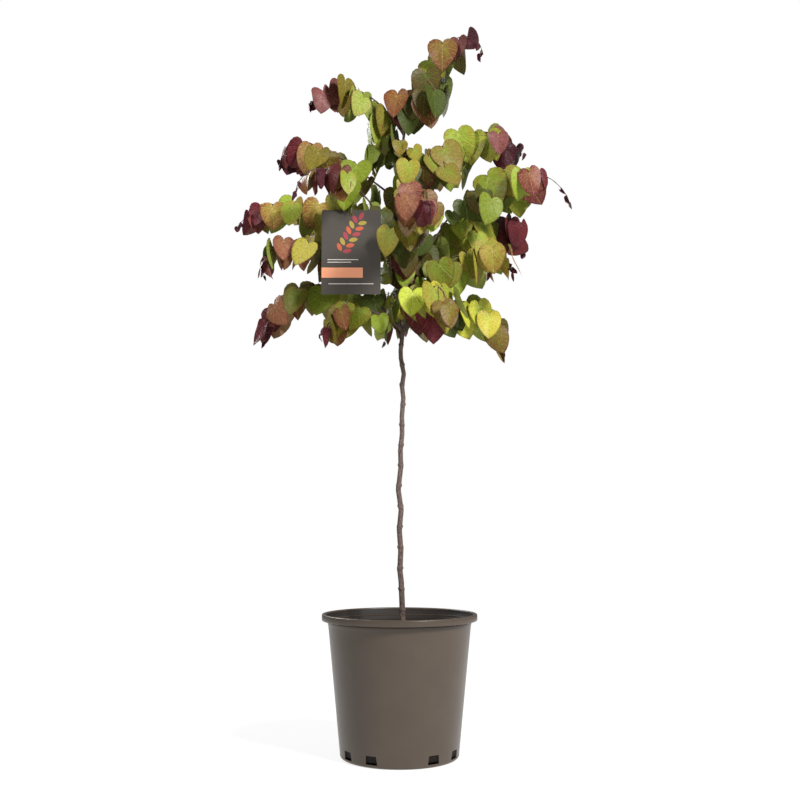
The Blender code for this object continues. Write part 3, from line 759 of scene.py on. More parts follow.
@dataclass
class LeafShape:
    """The heart-shaped blade on a grid of spokes round the stalk and rings out to the edge.

    The outline lists, in degrees from the notch, how many millimetres each spoke reaches.
    """

    edge: tuple = (
        (0.0, 6.5), (14.0, 12.0), (32.0, 20.0), (50.0, 25.6), (70.0, 29.2), (90.0, 31.4),
        (110.0, 33.0), (128.0, 35.6), (143.0, 39.6), (157.0, 45.4), (169.0, 51.6), (180.0, 58.5),
    )
    rings: tuple[float, ...] = (0.52, 1.0)
    thickness_mm: float = 0.35
    ripple: float = 0.4  # the finer wave beside the broad one

    @property
    def spokes(self) -> int:
        """How many spokes there are, both halves together."""
        return 2 * (len(self.edge) - 1)

    def flat(self) -> tuple[ndarray, ndarray, ndarray]:
        """The blade laid flat: a spoke's reach times a ring's share, at the spoke's turn.

        The upper face's points come first, its middle and then its rings, and the underside's
        follow without the edge, which both faces share.

        Returns:
            The places, the margin values, and 1 for each point of the underside.
        """
        half = np.array(self.edge)
        turn = np.radians(np.concatenate([half[:, 0], 360.0 - half[-2:0:-1, 0]]))
        reach = np.concatenate([half[:, 1], half[-2:0:-1, 1]]) * MM
        rings = np.array(self.rings)[:, None]
        across = (rings * reach * np.sin(turn)).ravel()
        down = (-rings * reach * np.cos(turn)).ravel()
        upper = np.stack([np.append(0.0, across), np.append(0.0, down)], axis=-1)
        margin = np.append(0.0, np.broadcast_to(rings, (len(self.rings), self.spokes)).ravel())
        inner = len(upper) - self.spokes
        below = np.concatenate([np.zeros(len(upper)), np.ones(inner)])
        return np.concatenate([upper, upper[:inner]]), np.concatenate([margin, margin[:inner]]), below

    def faces(self) -> list[tuple[ndarray, int]]:
        """The faces of one leaf: the upper side with the first material, the lower the second.

        Both sides are split along the same diagonals, so that neither comes through the other.

        Returns:
            Pairs of corner numbers and the material's number.
        """
        count, rings = self.spokes, len(self.rings)
        first = 1 + rings * count
        edge = 1 + (rings - 1) * count
        upper = grid_faces(rings, count)[:, ::-1] + 1
        lower = grid_faces(rings, count) + first + 1
        lower = np.where(lower >= first + edge, lower - first, lower)
        upper_fan = fan_faces(0, 1, count, flip=True)
        lower_fan = fan_faces(first, first + 1, count)
        return [(halves(upper, 1), 0), (upper_fan, 0), (halves(lower), 1), (lower_fan, 1)]

    def blades(self, leaves: list[Leaf]) -> tuple[ndarray, ndarray, ndarray]:
        """Bends the flat blade to each leaf's own shape and puts it in its place.

        The blade is widened by its aspect and leans by its skew times the way along. Each half
        is turned up about the midrib by the fold, waves by the sine of three and of
        five times its turn grow with the square of the way out, the sides roll round a
        cylinder along the midrib, and the whole bends round a cylinder across it.

        Args:
            leaves: the leaves.

        Returns:
            Their points as (leaf, point, 3), the map coordinates and the margin values.
        """
        places, margin, below = self.flat()
        rows = [(each.size, each.fold, each.curl, each.roll, each.wave) for each in leaves]
        size, fold, curl, roll, wave = np.array(rows).T[..., None]
        rows = [(each.phase, each.aspect, each.skew) for each in leaves]
        phase, aspect, skew = np.array(rows).T[..., None]
        curl, roll, wave = curl / size, roll / size, wave * size
        along = places[None, :, 1] * size
        across = places[None, :, 0] * size * aspect + skew * np.maximum(along, 0.0)
        turn = np.arctan2(places[:, 0], places[:, 1])[None, :]
        waves = np.sin(3.0 * turn + phase) + self.ripple * np.sin(5.0 * turn + 2.3 * phase)
        rise = wave * margin**2 * waves
        rise = rise - below * self.thickness_mm * MM
        high = np.abs(across) * np.sin(fold) + rise - 0.5 * roll * across**2
        wide = over(np.sin(roll * across), roll, across) * np.cos(fold)
        bent = over(np.sin(curl * along), curl, along)
        out = high * np.cos(curl * along) - over(1.0 - np.cos(curl * along), curl, 0.0)
        frames = np.array([(each.base, each.down, each.face) for each in leaves])
        base, down, face = frames.transpose(1, 0, 2)[:, :, None]
        side = np.cross(down, face)
        points = base + wide[..., None] * side + bent[..., None] * down + out[..., None] * face
        flat = [0.5 + places[:, 0] / (CELL_MM * MM), (STALK_AT_MM * MM - places[:, 1]) / (CELL_MM * MM)]
        return points, np.stack(flat, axis=-1), margin


@dataclass(frozen=True)
class Habit:
    """How leaves hang and bend: the spans that their draws are taken from, and what each adds.

    Turns are in radians, lengths in metres, and bends a metre, unless a comment says otherwise.
    """

    step_chance: tuple = (-0.25, 0.25)  # how far a leaf strays along its twig, in steps
    tone_chance: tuple = (-0.45, 0.45)  # how far its tint strays, in tints
    grown: tuple = (0.84, 1.10)
    bud: tuple = (0.20, 0.34)
    small: float = 0.4  # leaves under this size sit close to the twig
    shrink: float = 0.30  # how much smaller a young leaf is
    young_span: tuple = (0.62, 0.95)
    facing: tuple = (14.0, 44.0, 30.0, 17.0)  # degrees along the twig: all, in front, behind, by chance
    rise: tuple = (-0.22, 0.42)
    lean_out: float = 0.20
    lean_side: float = 0.28
    stalk: float = 0.6
    stalk_layer: float = 0.5
    stalk_chance: tuple = (-0.12, 0.12)
    hang: tuple = (-0.004, 0.026)
    bud_hang: float = 0.004
    young_crumple: float = 0.4
    crumple: tuple = (0.3, 1.0)
    fold: tuple = (0.00, 0.24)
    fold_back: tuple = (0.3, 1.1)
    shut: tuple = (0.95, 1.30)
    shut_chance: float = 0.8
    curl: tuple = (-5.0, 10.0)
    crumple_curl: float = 18.0
    crumple_curl_span: tuple = (-0.2, 1.0)
    roll: tuple = (-2.0, 5.0)
    crumple_roll: float = 10.0
    roll_limit: float = -0.5  # a blade that is folded back further doesn't roll
    wave: tuple = (0.0006, 0.0028)
    crumple_wave: float = 0.0034
    aspect: tuple = (0.94, 1.12)
    skew: tuple = (-0.14, 0.14)


@dataclass
class Crown:
    """The boughs beyond the stem, their twigs, and the leaves that hang from them."""

    stem: Stem
    seed: int = 11
    start_share: float = 0.78
    end_radius: float = 0.0013
    taper: float = 0.8
    tip_radius: float = 0.0006
    path_points: int = 160
    bough_sides: int = 10
    twig_sides: int = 7
    node_step: float = 0.0185
    zigzag: float = 0.0012
    collar: float = 0.45
    collar_reach: float = 0.006
    knot: float = 0.00035
    knot_half: float = 0.0022
    lead: float = 0.03  # how far below its clothed share a bough's leaves begin
    short_bough: float = 0.3
    tip_leaves: tuple[float, ...] = (0.93, 0.965, 1.0)
    stalk: float = 0.0150
    stalk_radius: float = 0.00062
    stalk_rings: int = 6
    stalk_sides: int = 5
    shoot_points: int = 24
    shoot_radii: tuple = (0.0011, 0.0006)
    shoot_length: tuple = (0.055, 0.080)
    shoot_aside: tuple = (0.7, 1.3)
    spur_points: int = 20
    spur_radii: tuple = (0.0013, 0.0007)
    spur_arch: float = 0.006
    tuft_spurs: int = 4
    tuft_spread: float = 0.65
    tuft_size: float = 0.80
    habit: Habit = field(default_factory=Habit)
    clearance: float = 0.0012
    settle_rounds: int = 7
    settle_step: float = 0.006
    settle_turn: float = 0.30
    shape: LeafShape = field(default_factory=LeafShape)
    leaves: list = field(default_factory=list)
    woody: Shell = field(default_factory=Shell)
    twigs: Shell = field(default_factory=Shell)

    def path(self, bough: Bough) -> ndarray:
        """A bough's middle line: its slope turns from rise to fall by a power of the way along.

        Args:
            bough: the bough.

        Returns:
            The line's points, as (point, 3).
        """
        share = np.linspace(0.0, 1.0, self.path_points)
        slope = np.radians(bough.rise + (bough.fall - bough.rise) * share**bough.bend)
        step = np.cos(slope)[:, None] * level(bough.azimuth) + np.sin(slope)[:, None] * UP
        middle = (step[1:] + step[:-1]) / 2.0 * bough.length / (self.path_points - 1)
        offsets = np.concatenate([np.zeros((1, 3)), np.cumsum(middle, axis=0)])
        return self.stem.centre(bough.height) + offsets

    def radius(self, bough: Bough, shares: ndarray) -> ndarray:
        """A bough's radius: the CAD model's taper by a power of the way along, drawn finer.

        Args:
            bough: the bough.
            shares: shares of the way along it, from 0 to 1.

        Returns:
            The radius at each.
        """
        start = self.start_share * self.stem.radius(bough.height)
        wood = start + (self.end_radius - start) * shares**self.taper
        wood = wood * (1.0 - 0.25 * smooth(0.05, 0.4, shares))
        finer = smooth(0.6, 1.0, shares)
        return wood * (1.0 - finer) + self.tip_radius * finer

    def grow(self) -> None:
        """Grows every bough with its side shoots, the tufts, and the spurs on the stem."""
        for index, bough in enumerate(BOUGHS):
            self._grow_bough(bough, np.random.default_rng((self.seed, index)))
        for index, tuft in enumerate(TUFTS):
            self._grow_tuft(tuft, np.random.default_rng((self.seed, 100 + index)))
        for index, spur in enumerate(SPURS):
            origin = self.stem.centre(spur.height)
            aim = origin + spur.length * level(spur.azimuth) + spur.rise * UP
            tones = tones_of(spur.tones)
            rng = np.random.default_rng((self.seed, 200 + index))
            self._spur(origin, aim, spur.size, tones, len(tones), rng)
        self._settle()

    @staticmethod
    def _spread(points: ndarray) -> tuple[ndarray, ndarray, ndarray]:
        """The plane that a blade lies closest to.

        Args:
            points: the blade's points.

        Returns:
            Its middle, its axes from the longest to the plane's normal, and its reach along each.
        """
        middle = points.mean(axis=0)
        axes = np.linalg.svd(points - middle, full_matrices=False)[2]
        return middle, axes, np.abs((points - middle) @ axes.T).max(axis=0)

    def _settle(self) -> None:
        """Moves leaves apart that would cut through each other.

        A leaf is held against each nearer, earlier one as an ellipse on its plane. When points of
        it inside that ellipse lie on both sides, it turns a share of the way towards the
        earlier leaf's plane, and steps off to the side that most of it lies on.
        """
        middles, axes, reaches = [], [], []
        for leaf in self.leaves:
            for _ in range(self.settle_rounds):
                points = self.shape.blades([leaf])[0][0]
                middle, own, reach = self._spread(points)
                if not middles:
                    break
                gap = np.linalg.norm(np.array(middles) - middle, axis=1)
                worst, move, normal = 0.0, None, None
                for other in np.flatnonzero(gap < reach[0] + np.array(reaches)[:, 0]):
                    placed = (points - middles[other]) @ axes[other].T
                    held = np.hypot(placed[:, 0] / reaches[other][0], placed[:, 1] / reaches[other][1]) < 1.0
                    if not held.any():
                        continue
                    high = placed[held, 2]
                    way = 1.0 if high.mean() >= 0.0 else -1.0
                    need = self.clearance - (way * high).min()
                    if need > worst:
                        worst, move, normal = need, way * axes[other][2], axes[other][2]
                if move is None:
                    break
                leaf.base = leaf.base + min(worst, self.settle_step) * move
                face = leaf.face + self.settle_turn * math.copysign(1.0, float(leaf.face @ normal)) * normal
                leaf.face = unit(face)
                leaf.down = unit(leaf.down - (leaf.down @ leaf.face) * leaf.face)
            middles.append(middle)
            axes.append(own)
            reaches.append(reach)

    def _grow_bough(self, bough: Bough, rng: Generator) -> None:
        """Lays one bough's wood, then hangs leaves from it and from short shoots on its sides.

        Its line zigzags from node to node, and it swells at each node and at its foot by bell
        curves and by e to the minus distance.

        Args:
            bough: the bough.
            rng: its own random numbers.
        """
        out = level(bough.azimuth)
        side = np.cross(UP, out)
        shares = np.linspace(0.0, 1.0, self.path_points)
        steps = bough.length / self.node_step
        wiggle = self.zigzag * (1.0 - 2.0 * np.abs((shares * steps % 2.0) - 1.0)) * smooth(0.05, 0.3, shares)
        line = self.path(bough) + wiggle[:, None] * side
        radii = self.radius(bough, shares)
        radii = radii * (1.0 + self.collar * np.exp(-shares * bough.length / self.collar_reach))
        knots = np.exp(-((((shares * steps) % 1.0) - 0.5) * self.node_step / self.knot_half) ** 2)
        radii = radii + self.knot * knots * smooth(0.02, 0.2, shares)
        self.woody.tube(line, radii, self.bough_sides, side)
        tones = tones_of(bough.tones)
        first = bough.clothed - self.lead
        span = (bough.last - first) * bough.length
        self._hang(line, out, (first, bough.last), span, bough.size, tones, rng, drop=bough.drop)
        for number in range(2 if bough.length < self.short_bough else 3):
            start = first + (0.05 + 0.25 * number + 0.06 * rng.random()) * (bough.last - first)
            self._side_shoot(bough, line, start, 1.0 if number % 2 else -1.0, tones, rng)
        for number in range(bough.inner):
            along = first * (0.30 + 0.65 * (number + rng.random()) / bough.inner)
            way = (1.0 if number % 2 else -1.0) * side
            tone = (Tone.GREEN, Tone.DEEP, Tone.FRESH)[int(rng.integers(0, 3))]
            self._leaf(at(line, along), way, out, rng.uniform(0.55, 0.85), 0.0, tone, rng)

    def _side_shoot(
        self, bough: Bough, line: ndarray, start: float, way: float, tones: list[Tone], rng: Generator
    ) -> None:
        """Grows a short shoot from a bough's side, along a drooping parabola.

        Args:
            bough: the bough.
            line: its middle line.
            start: the share of it where the shoot leaves.
            way: 1 for its left side and -1 for its right.
            tones: its tints, of which the shoot takes those found there.
            rng: the bough's own random numbers.
        """
        out = level(bough.azimuth)
        side = np.cross(UP, out)
        heading = unit(out + way * rng.uniform(*self.shoot_aside) * side)
        length = rng.uniform(*self.shoot_length) * bough.size
        share = np.linspace(0.0, 1.0, self.shoot_points)[:, None]
        droop = -0.5 * share**2 + 0.15 * share
        shoot = at(line, start) + length * (share * heading * (1.0 - 0.25 * share) + droop * UP)
        radii = np.linspace(*self.shoot_radii, self.shoot_points)
        self.twigs.tube(shoot, radii, self.twig_sides, np.cross(UP, heading))
        place = (start - bough.clothed + self.lead) / (1.0 + self.lead - bough.clothed)
        spread = [tones[min(len(tones) - 1, max(0, round(place * len(tones) + step)))] for step in (0, 0, 1)]
        self._hang(shoot, heading, (0.2, 1.0), 0.8 * length, bough.size * 0.92, spread, rng, tip=False)

    def _hang(
        self, line: ndarray, out: ndarray, span: tuple, length: float, size: float, tones: list[Tone],
        rng: Generator, tip: bool = True, drop: float = 0.0,
    ) -> None:
        """Hangs leaves alternately from both sides of a twig, smaller and more folded at its tip.

        Args:
            line: the twig's middle line.
            out: the level direction that it grows in.
            span: the shares of the twig where the leaves begin and end.
            length: the length of that span.
            size: how large its leaves are beside a full-grown one.
            tones: the tints along it.
            rng: the twig's own random numbers.
            tip: whether the twig ends in small young leaves.
            drop: how much further than usual the leaves hang down.
        """
        habit = self.habit
        count = max(2, round(length / self.node_step))
        side = np.cross(UP, out)
        reach = 0.92 if tip else 1.0
        for number in range(count):
            along = reach * (number + 0.5 + rng.uniform(*habit.step_chance)) / count
            way = 1.0 if number % 2 else -1.0
            here = at(line, span[0] + (span[1] - span[0]) * along)
            young = float(smooth(*habit.young_span, along)) if tip else 0.2 * along
            grown = size * (1.0 - habit.shrink * young) * rng.uniform(*habit.grown)
            place = along * len(tones) + rng.uniform(*habit.tone_chance)
            tone = tones[int(np.clip(place, 0, len(tones) - 1))]
            self._leaf(here, way * side, out, grown, young, tone, rng, drop)
        for along in self.tip_leaves if tip else ():
            way = 1.0 if rng.random() < 0.5 else -1.0
            grown = size * rng.uniform(*habit.bud)
            self._leaf(at(line, along), way * side, out, grown, 1.0, Tone.MAROON, rng)

    def _leaf(
        self, here: ndarray, way: ndarray, out: ndarray, size: float, young: float, tone: Tone,
        rng: Generator, drop: float = 0.0,
    ) -> None:
        """Sets one leaf on its stalk: it hangs tip down and faces out from its side of the twig.

        Args:
            here: where its stalk leaves the twig.
            way: the level direction of that side.
            out: the level direction that the twig grows in.
            size: how large it is beside a full-grown one.
            young: 0 for a grown leaf, 1 for one that is still folded shut.
            tone: its tint.
            rng: the twig's own random numbers.
            drop: how much further than usual it hangs down.
        """
        habit = self.habit
        usual, front, rear, chance = habit.facing
        turn = usual + front * max(0.0, -float(out @ BACK)) + rear * max(0.0, float(way @ BACK))
        turn = math.radians(turn) + math.radians(rng.normal(0.0, chance))
        stretch = unit(math.cos(turn) * way + math.sin(turn) * out)
        face = unit(stretch + rng.uniform(*habit.rise) * UP)
        hang = -UP + habit.lean_out * out + rng.normal(0.0, habit.lean_side) * np.cross(face, UP)
        down = unit(hang - np.dot(hang, face) * face)
        layer = ((len(self.leaves) + 1) // 2 % 3) * habit.stalk_layer
        stalk = self.stalk * (habit.stalk + layer + rng.uniform(*habit.stalk_chance)) * max(size, 0.5)
        base = here + stretch * stalk - UP * (drop + rng.uniform(*habit.hang) * size)
        if size < habit.small:
            base = here + stretch * stalk * 0.5 - UP * habit.bud_hang
        crumple = min(1.0, tone.value.crumple + habit.young_crumple * young) * rng.uniform(*habit.crumple)
        flat = rng.random() > crumple
        fold = rng.uniform(*habit.fold) if flat else -rng.uniform(*habit.fold_back) * crumple
        shut = rng.random() < habit.shut_chance * float(smooth(0.5, 1.0, young))
        if shut:
            fold = -rng.uniform(*habit.shut)
        curl = rng.uniform(*habit.curl) + habit.crumple_curl * crumple * rng.uniform(*habit.crumple_curl_span)
        roll = rng.uniform(*habit.roll) + habit.crumple_roll * crumple * rng.random()
        leaf = Leaf(
            base=base,
            down=down,
            face=face,
            size=size,
            fold=fold,
            curl=curl,
            roll=roll * (0.0 if shut or fold < habit.roll_limit else 1.0),
            wave=rng.uniform(*habit.wave) + habit.crumple_wave * crumple,
            phase=rng.uniform(0.0, math.tau),
            aspect=rng.uniform(*habit.aspect),
            skew=rng.uniform(*habit.skew),
            tone=tone,
            cells=(int(rng.integers(0, UPPER_CELLS)), int(rng.integers(UPPER_CELLS, MAP_CELLS**2))),
            twig=here,
            level=stretch,
        )
        self.leaves.append(leaf)

    def _grow_tuft(self, tuft: Tuft, rng: Generator) -> None:
        """Grows four short spurs from the stem into a tuft's place, each with a few leaves.

        Args:
            tuft: the tuft.
            rng: its own random numbers.
        """
        tones = tones_of(tuft.tones)
        for number in range(self.tuft_spurs):
            stray = rng.uniform(-self.tuft_spread, self.tuft_spread, 3)
            aim = np.array(tuft.centre) + np.array(tuft.half) * stray
            origin = self.stem.centre(aim[2] - 0.010 - 0.008 * number)
            self._spur(origin, aim, self.tuft_size, tones[number:] + tones[:number], 3, rng)

    def _spur(
        self, origin: ndarray, aim: ndarray, size: float, tones: list[Tone], count: int, rng: Generator
    ) -> None:
        """Grows one short twig along a half sine arch, with its leaves.

        Args:
            origin: where it leaves the stem.
            aim: where it ends.
            size: how large its leaves are beside a full-grown one.
            tones: the tints along it.
            count: how many leaves it has, but at least two.
            rng: its own random numbers.
        """
        share = np.linspace(0.0, 1.0, self.spur_points)[:, None]
        shoot = origin + share * (aim - origin) + self.spur_arch * np.sin(math.pi * share) * UP
        heading = unit((aim - origin) * np.array([1.0, 1.0, 0.0]))
        radii = np.linspace(*self.spur_radii, self.spur_points)
        self.twigs.tube(shoot, radii, self.twig_sides, np.cross(UP, heading))
        self._hang(shoot, heading, (0.3, 1.0), count * self.node_step, size, tones, rng, tip=False)

    def stalk_shell(self) -> Shell:
        """Makes every leaf stalk: a round rod along a parabola, up from the twig and over to the blade.

        Returns:
            The stalks.
        """
        shell = Shell()
        share = np.linspace(0.0, 1.0, self.stalk_rings)[:, None]
        for leaf in self.leaves:
            start, end = leaf.twig, leaf.base
            middle = (start + end) / 2.0 + 0.25 * np.linalg.norm(end - start) * UP
            path = (1 - share) ** 2 * start + 2 * share * (1 - share) * middle + share**2 * end
            radii = np.full(self.stalk_rings, self.stalk_radius * (0.5 + 0.5 * leaf.size))
            shell.tube(path, radii, self.stalk_sides, unit(np.cross(UP, leaf.level)))
        return shell

    def build(self) -> list[Object]:
        """Makes the crown's pieces.

        Returns:
            The boughs, twigs, stalks, and one piece of leaves for each tint.
        """
        self.grow()
        boughs = self.woody.build("bough_wood", [BOUGH_BARK.build()])
        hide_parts("leader", *(f"bough_{bough.name}" for bough in BOUGHS[1:]))
        twigs = self.twigs.build("twigs", [TWIG_BARK.build()])
        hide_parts(*(f"leaves_{tuft.name}" for tuft in TUFTS))
        stalks = self.stalk_shell().build("leaf_stalks", [StalkFinish().build()])
        pieces = [boughs, twigs, stalks]
        faces = self.shape.faces()
        for tone in Tone:
            dealt = [leaf for leaf in self.leaves if leaf.tone is tone]
            points, flat, margin = self.shape.blades(dealt)
            shell = Shell()
            for leaf, own in zip(dealt, points):
                shell.add(own, faces, flat, margin, leaf.cells)
            finish = tone.value
            piece = shell.build(f"leaves_{finish.name}", [finish.upper(), finish.lower()], 80.0, mapped=True)
            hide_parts(*(f"leaves_{bough.name}" for bough in BOUGHS))
            pieces.append(piece)
            log.info("%s: %d leaves", piece.name, len(dealt))
        return pieces


@dataclass
class StemWood:
    """The stem's own wood, with ridges, knots at its nodes and small buds above them."""

    stem: Stem
    sides: int = 28
    ring_step: float = 0.0016
    knot: float = 0.00075
    knot_half: float = 0.0032
    bud: float = 0.0011
    bud_turn: float = 0.55
    bud_lift: float = 0.0015
    bud_half: float = 0.0018
    ridge: float = 0.045
    seed: int = 5

    def build(self) -> Object:
        """Makes the stem: a tube whose rings swell at each node, more so on the bud's side.

        Swellings are bell curves of the way from the node, and the ridges are a mean of sines
        round the stem that drift with its height.

        Returns:
            The stem, as one piece.
        """
        stem = self.stem
        count = round((stem.top - stem.foot) / self.ring_step)
        heights = np.linspace(stem.foot, stem.top, count)
        turn = ring(self.sides)[None, :]
        place = (heights - stem.foot) / stem.node_spacing
        off = (place - np.round(place))[:, None] * stem.node_spacing
        which = np.round(place)[:, None]
        swell = np.exp(-((off / self.knot_half) ** 2))
        towards = math.pi * (which % 2.0) + 0.5 * np.sin(3.1 * which)
        bud_side = np.exp(-((np.angle(np.exp(1j * (turn - towards))) / self.bud_turn) ** 2))
        lift = np.exp(-(((off - self.bud_lift) / self.bud_half) ** 2))
        rng = np.random.default_rng(self.seed)
        rough = np.zeros((count, self.sides))
        for waves in (3, 5, 7, 9):
            start, drift = rng.uniform(0.0, math.tau, 2)
            rate = rng.uniform(12.0, 55.0)
            rough += np.sin(waves * turn + start + np.sin(rate * heights + drift)[:, None] * 1.4) / 4.0
        radius = stem.radius(heights)[:, None]
        reach = radius * (1.0 + self.ridge * rough) + self.knot * swell + self.bud * bud_side * lift
        shell = Shell()
        shell.tube(stem.centre(heights), np.ones(count), self.sides, BACK, reach)
        piece = shell.build("stem_wood", [STEM_BARK.build()])
        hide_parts("stem")
        return piece


@dataclass(frozen=True)
class PotFinish:
    """Recycled polypropylene, injection moulded in a satin mould.

    The eye sees warm grey with broad soft highlights and faint flow clouds.
    """

    name: str = "moulded_polypropylene"
    colour: str = "#564b40"
    cloud: str = "#4c4137"
    roughness: float = 0.34
    cloud_mm: float = 60.0
    grain_mm: float = 0.9
    relief_mm: float = 0.04
    ior: float = 1.49
    specular: float = 0.38

    def build(self) -> Material:
        """Makes the pot's material.

        Returns:
            The material.
        """
        graph = Graph(self.name)
        node = graph.node
        place = node("TexCoord", output="Object")
        cloud = node("TexNoise", {"Vector": place, "Scale": per_metre(self.cloud_mm), "Detail": 2.0})
        colour = node("Mix", {0: cloud, 6: linear(self.colour), 7: linear(self.cloud)}, 2, data_type="RGBA")
        grain = node("TexNoise", {"Vector": place, "Scale": per_metre(self.grain_mm), "Detail": 2.0})
        relief = node("Bump", {"Height": grain, "Distance": self.relief_mm * MM, "Strength": 0.5})
        gloss = {"Roughness": self.roughness, "IOR": self.ior, "Specular IOR Level": self.specular}
        return graph.dress({"Base Color": colour, "Normal": relief, **gloss})


@dataclass
class Pot:
    """The nursery pot: a turned wall with a stepped lip, and pairs of drain holes at its foot."""

    rim_radius: float = 0.1500
    height: float = 0.2670
    lip_height: float = 0.0140
    lip_inner: float = 0.1425
    lip_round: float = 0.0022
    lip_edge: float = 0.0018
    lip_lift: float = 0.0016  # how far the lip's underside is drawn above the CAD model's
    neck: float = 0.0007  # how far the wall under the lip stands out
    body_top: float = 0.1378
    body_top_height: float = 0.2478
    body_foot: float = 0.1136
    foot_height: float = 0.0085
    foot_round: float = 0.0062
    base_radius: float = 0.1072
    wall: float = 0.0026
    floor: float = 0.0035
    pairs: int = 4
    pair_spread: float = math.radians(15.0)
    drain_turn: float = math.radians(3.0)
    drain_top: float = 0.0198
    drain_bottom: float = 0.0246
    drain_low: float = 0.0064
    drain_high: float = 0.0222
    drain_rows: int = 3
    drain_columns: int = 4
    plain_step: float = math.radians(2.6)
    lean_reach: float = 0.13  # how far round from a hole's middle the columns lean with it

    def outer(self, z: float) -> float:
        """The wall's outer radius at a height above its rounded foot."""
        rate = (self.body_top - self.body_foot) / (self.body_top_height - self.foot_height)
        return self.body_foot + rate * (max(z, 0.0) - self.foot_height)

    @staticmethod
    def _round(corner: tuple, start: float, end: float, radius: float, steps: int = 6) -> list[tuple]:
        """Points of an arc.

        Args:
            corner: its centre, as radius and height.
            start: the angle where it starts, in degrees.
            end: the angle where it ends.
            radius: its radius.
            steps: how many points it has.

        Returns:
            The points.
        """
        turns = np.radians(np.linspace(start, end, steps))
        return [(corner[0] + radius * math.cos(t), corner[1] + radius * math.sin(t)) for t in turns]

    def profile(self) -> tuple[list[tuple], int, int, int]:
        """The wall's section from the middle of the floor inside, over the lip, to the underside.

        Returns:
            Its points as (radius, height), and where its inner drain rows, its crest and its
            outer drain rows begin.
        """
        rows = np.linspace(self.drain_low, self.drain_high, self.drain_rows + 1)
        shoulder = self.body_top_height - 0.004
        shelf, bore = self.body_top_height + self.wall, self.body_top - self.wall
        step, mouth = self.height - self.lip_height + self.wall, self.lip_inner - self.lip_round
        inside = [(share * self.base_radius, self.floor) for share in (0.0, 0.5)]
        inside.append((self.base_radius - self.wall, self.floor))
        inner_at = len(inside)
        heights = (*rows, *np.linspace(self.drain_high, shoulder, 12)[1:])
        inside += [(self.outer(z) - self.wall, z) for z in heights]
        inside += [(bore, shelf - 0.001), (bore + 0.0012, shelf)]
        inside += [(mouth - 0.001, step), (mouth, step + 0.001)]
        top, under = self.height - self.lip_round, self.height - self.lip_height + self.lip_lift
        crest = self._round((self.lip_inner + self.lip_round, top), 180.0, 90.0, self.lip_round)
        crest += self._round((self.rim_radius - self.lip_round, top), 90.0, 0.0, self.lip_round)
        edge = (self.rim_radius - self.lip_edge, under + self.lip_edge)
        crest += self._round(edge, 0.0, -90.0, self.lip_edge, 4)
        neck = self.body_top + self.neck
        outside = [(neck + 0.0006, under), (neck - 0.0010, under - 0.0003), (neck - 0.0010, under - 0.0018)]
        outside += [(neck, under - 0.0024), (neck, self.body_top_height + 0.0006)]
        outside.append((self.body_top + 0.0002, self.body_top_height - 0.0006))
        outside += [(self.outer(z), z) for z in np.linspace(shoulder, self.drain_high, 14)[:-1]]
        outer_at = len(inside) + len(crest) + len(outside)
        outside += [(self.outer(z), z) for z in rows[::-1]]
        depth = self.body_foot - self.base_radius
        for turn in np.linspace(0.15, 1.0, 6) * math.pi / 2.0:
            height = self.foot_round * (1.0 - math.sin(turn))
            outside.append((self.base_radius + depth * math.cos(turn), height))
        outside += [(0.5 * self.base_radius, 0.0), (0.0, 0.0)]
        return inside + crest + outside, inner_at, len(inside), outer_at

    def columns(self) -> tuple[ndarray, ndarray, ndarray]:
        """Works out where the grid's columns stand: even steps in each hole, and between two holes.

        Returns:
            Each column's turn, the turn of its nearest drain hole, and the holes' columns.
        """
        turns, centres, holes = [], [], []
        middles = [
            math.tau * (pair + 0.5) / self.pairs + way * self.pair_spread + self.drain_turn - math.pi / 2.0
            for pair in range(self.pairs)
            for way in (-1.0, 1.0)
        ]
        half = self.drain_bottom / 2.0 / self.body_foot
        for index, middle in enumerate(middles):
            after = middles[(index + 1) % len(middles)]
            after += math.tau if after < middle else 0.0
            holes += range(len(turns), len(turns) + self.drain_columns)
            turns += list(np.linspace(middle - half, middle + half, self.drain_columns + 1))
            centres += [middle] * (self.drain_columns + 1)
            count = max(3, round((after - middle - 2.0 * half) / self.plain_step))
            for turn in np.linspace(middle + half, after - half, count + 1)[1:-1]:
                turns.append(turn)
                centres.append(middle if turn - middle < after - turn else after)
        return np.array(turns), np.array(centres), np.array(holes)

    def build(self) -> Object:
        """Makes the pot as one grid of section by turn, with the drain holes cut through it.

        A column beside a hole leans in by the hole's own taper between its foot and its top.
        The cells of a hole are left out of both walls, and four strips join the two. The faces inside the pot
        take a darker copy of the plastic, which is painted shade.

        Returns:
            The pot, as one piece.
        """
        section, inner_at, crest_at, outer_at = self.profile()
        section = np.array(section)
        turns, centres, holes = self.columns()
        rows, count = len(section) - 2, len(turns)
        rings = section[1:-1]
        taper = [1.0, self.drain_top / self.drain_bottom]
        lean = np.interp(rings[:, 1], [self.drain_low, self.drain_high], taper)
        near = np.exp(-(((turns - centres) / self.lean_reach) ** 8))
        scale = 1.0 + (lean[:, None] - 1.0) * near[None, :]
        angle = centres[None, :] + (turns - centres)[None, :] * scale
        wide, high = rings[:, :1], np.broadcast_to(rings[:, 1:], angle.shape)
        points = np.stack([wide * np.cos(angle), wide * np.sin(angle), high], axis=-1).reshape(-1, 3)
        quads = grid_faces(rows, count).reshape(rows - 1, count, 4)
        keep = np.ones((rows - 1, count), dtype=bool)
        inner, crest, outer = inner_at - 1, crest_at - 1, outer_at - 1
        for low in (inner, outer):
            keep[low : low + self.drain_rows][:, holes] = False
        hidden = quads[:crest][keep[:crest]][:, ::-1]
        body = quads[crest:][keep[crest:]][:, ::-1]
        holes = holes.reshape(-1, self.drain_columns)
        strips = [self._strips(cells, inner, outer, count) for cells in holes]
        start, end = cap_faces(rows, count, flip=True)
        shell = Shell()
        faces = [(part, 0) for part in (body, *strips, end)] + [(hidden, 1), (start, 1)]
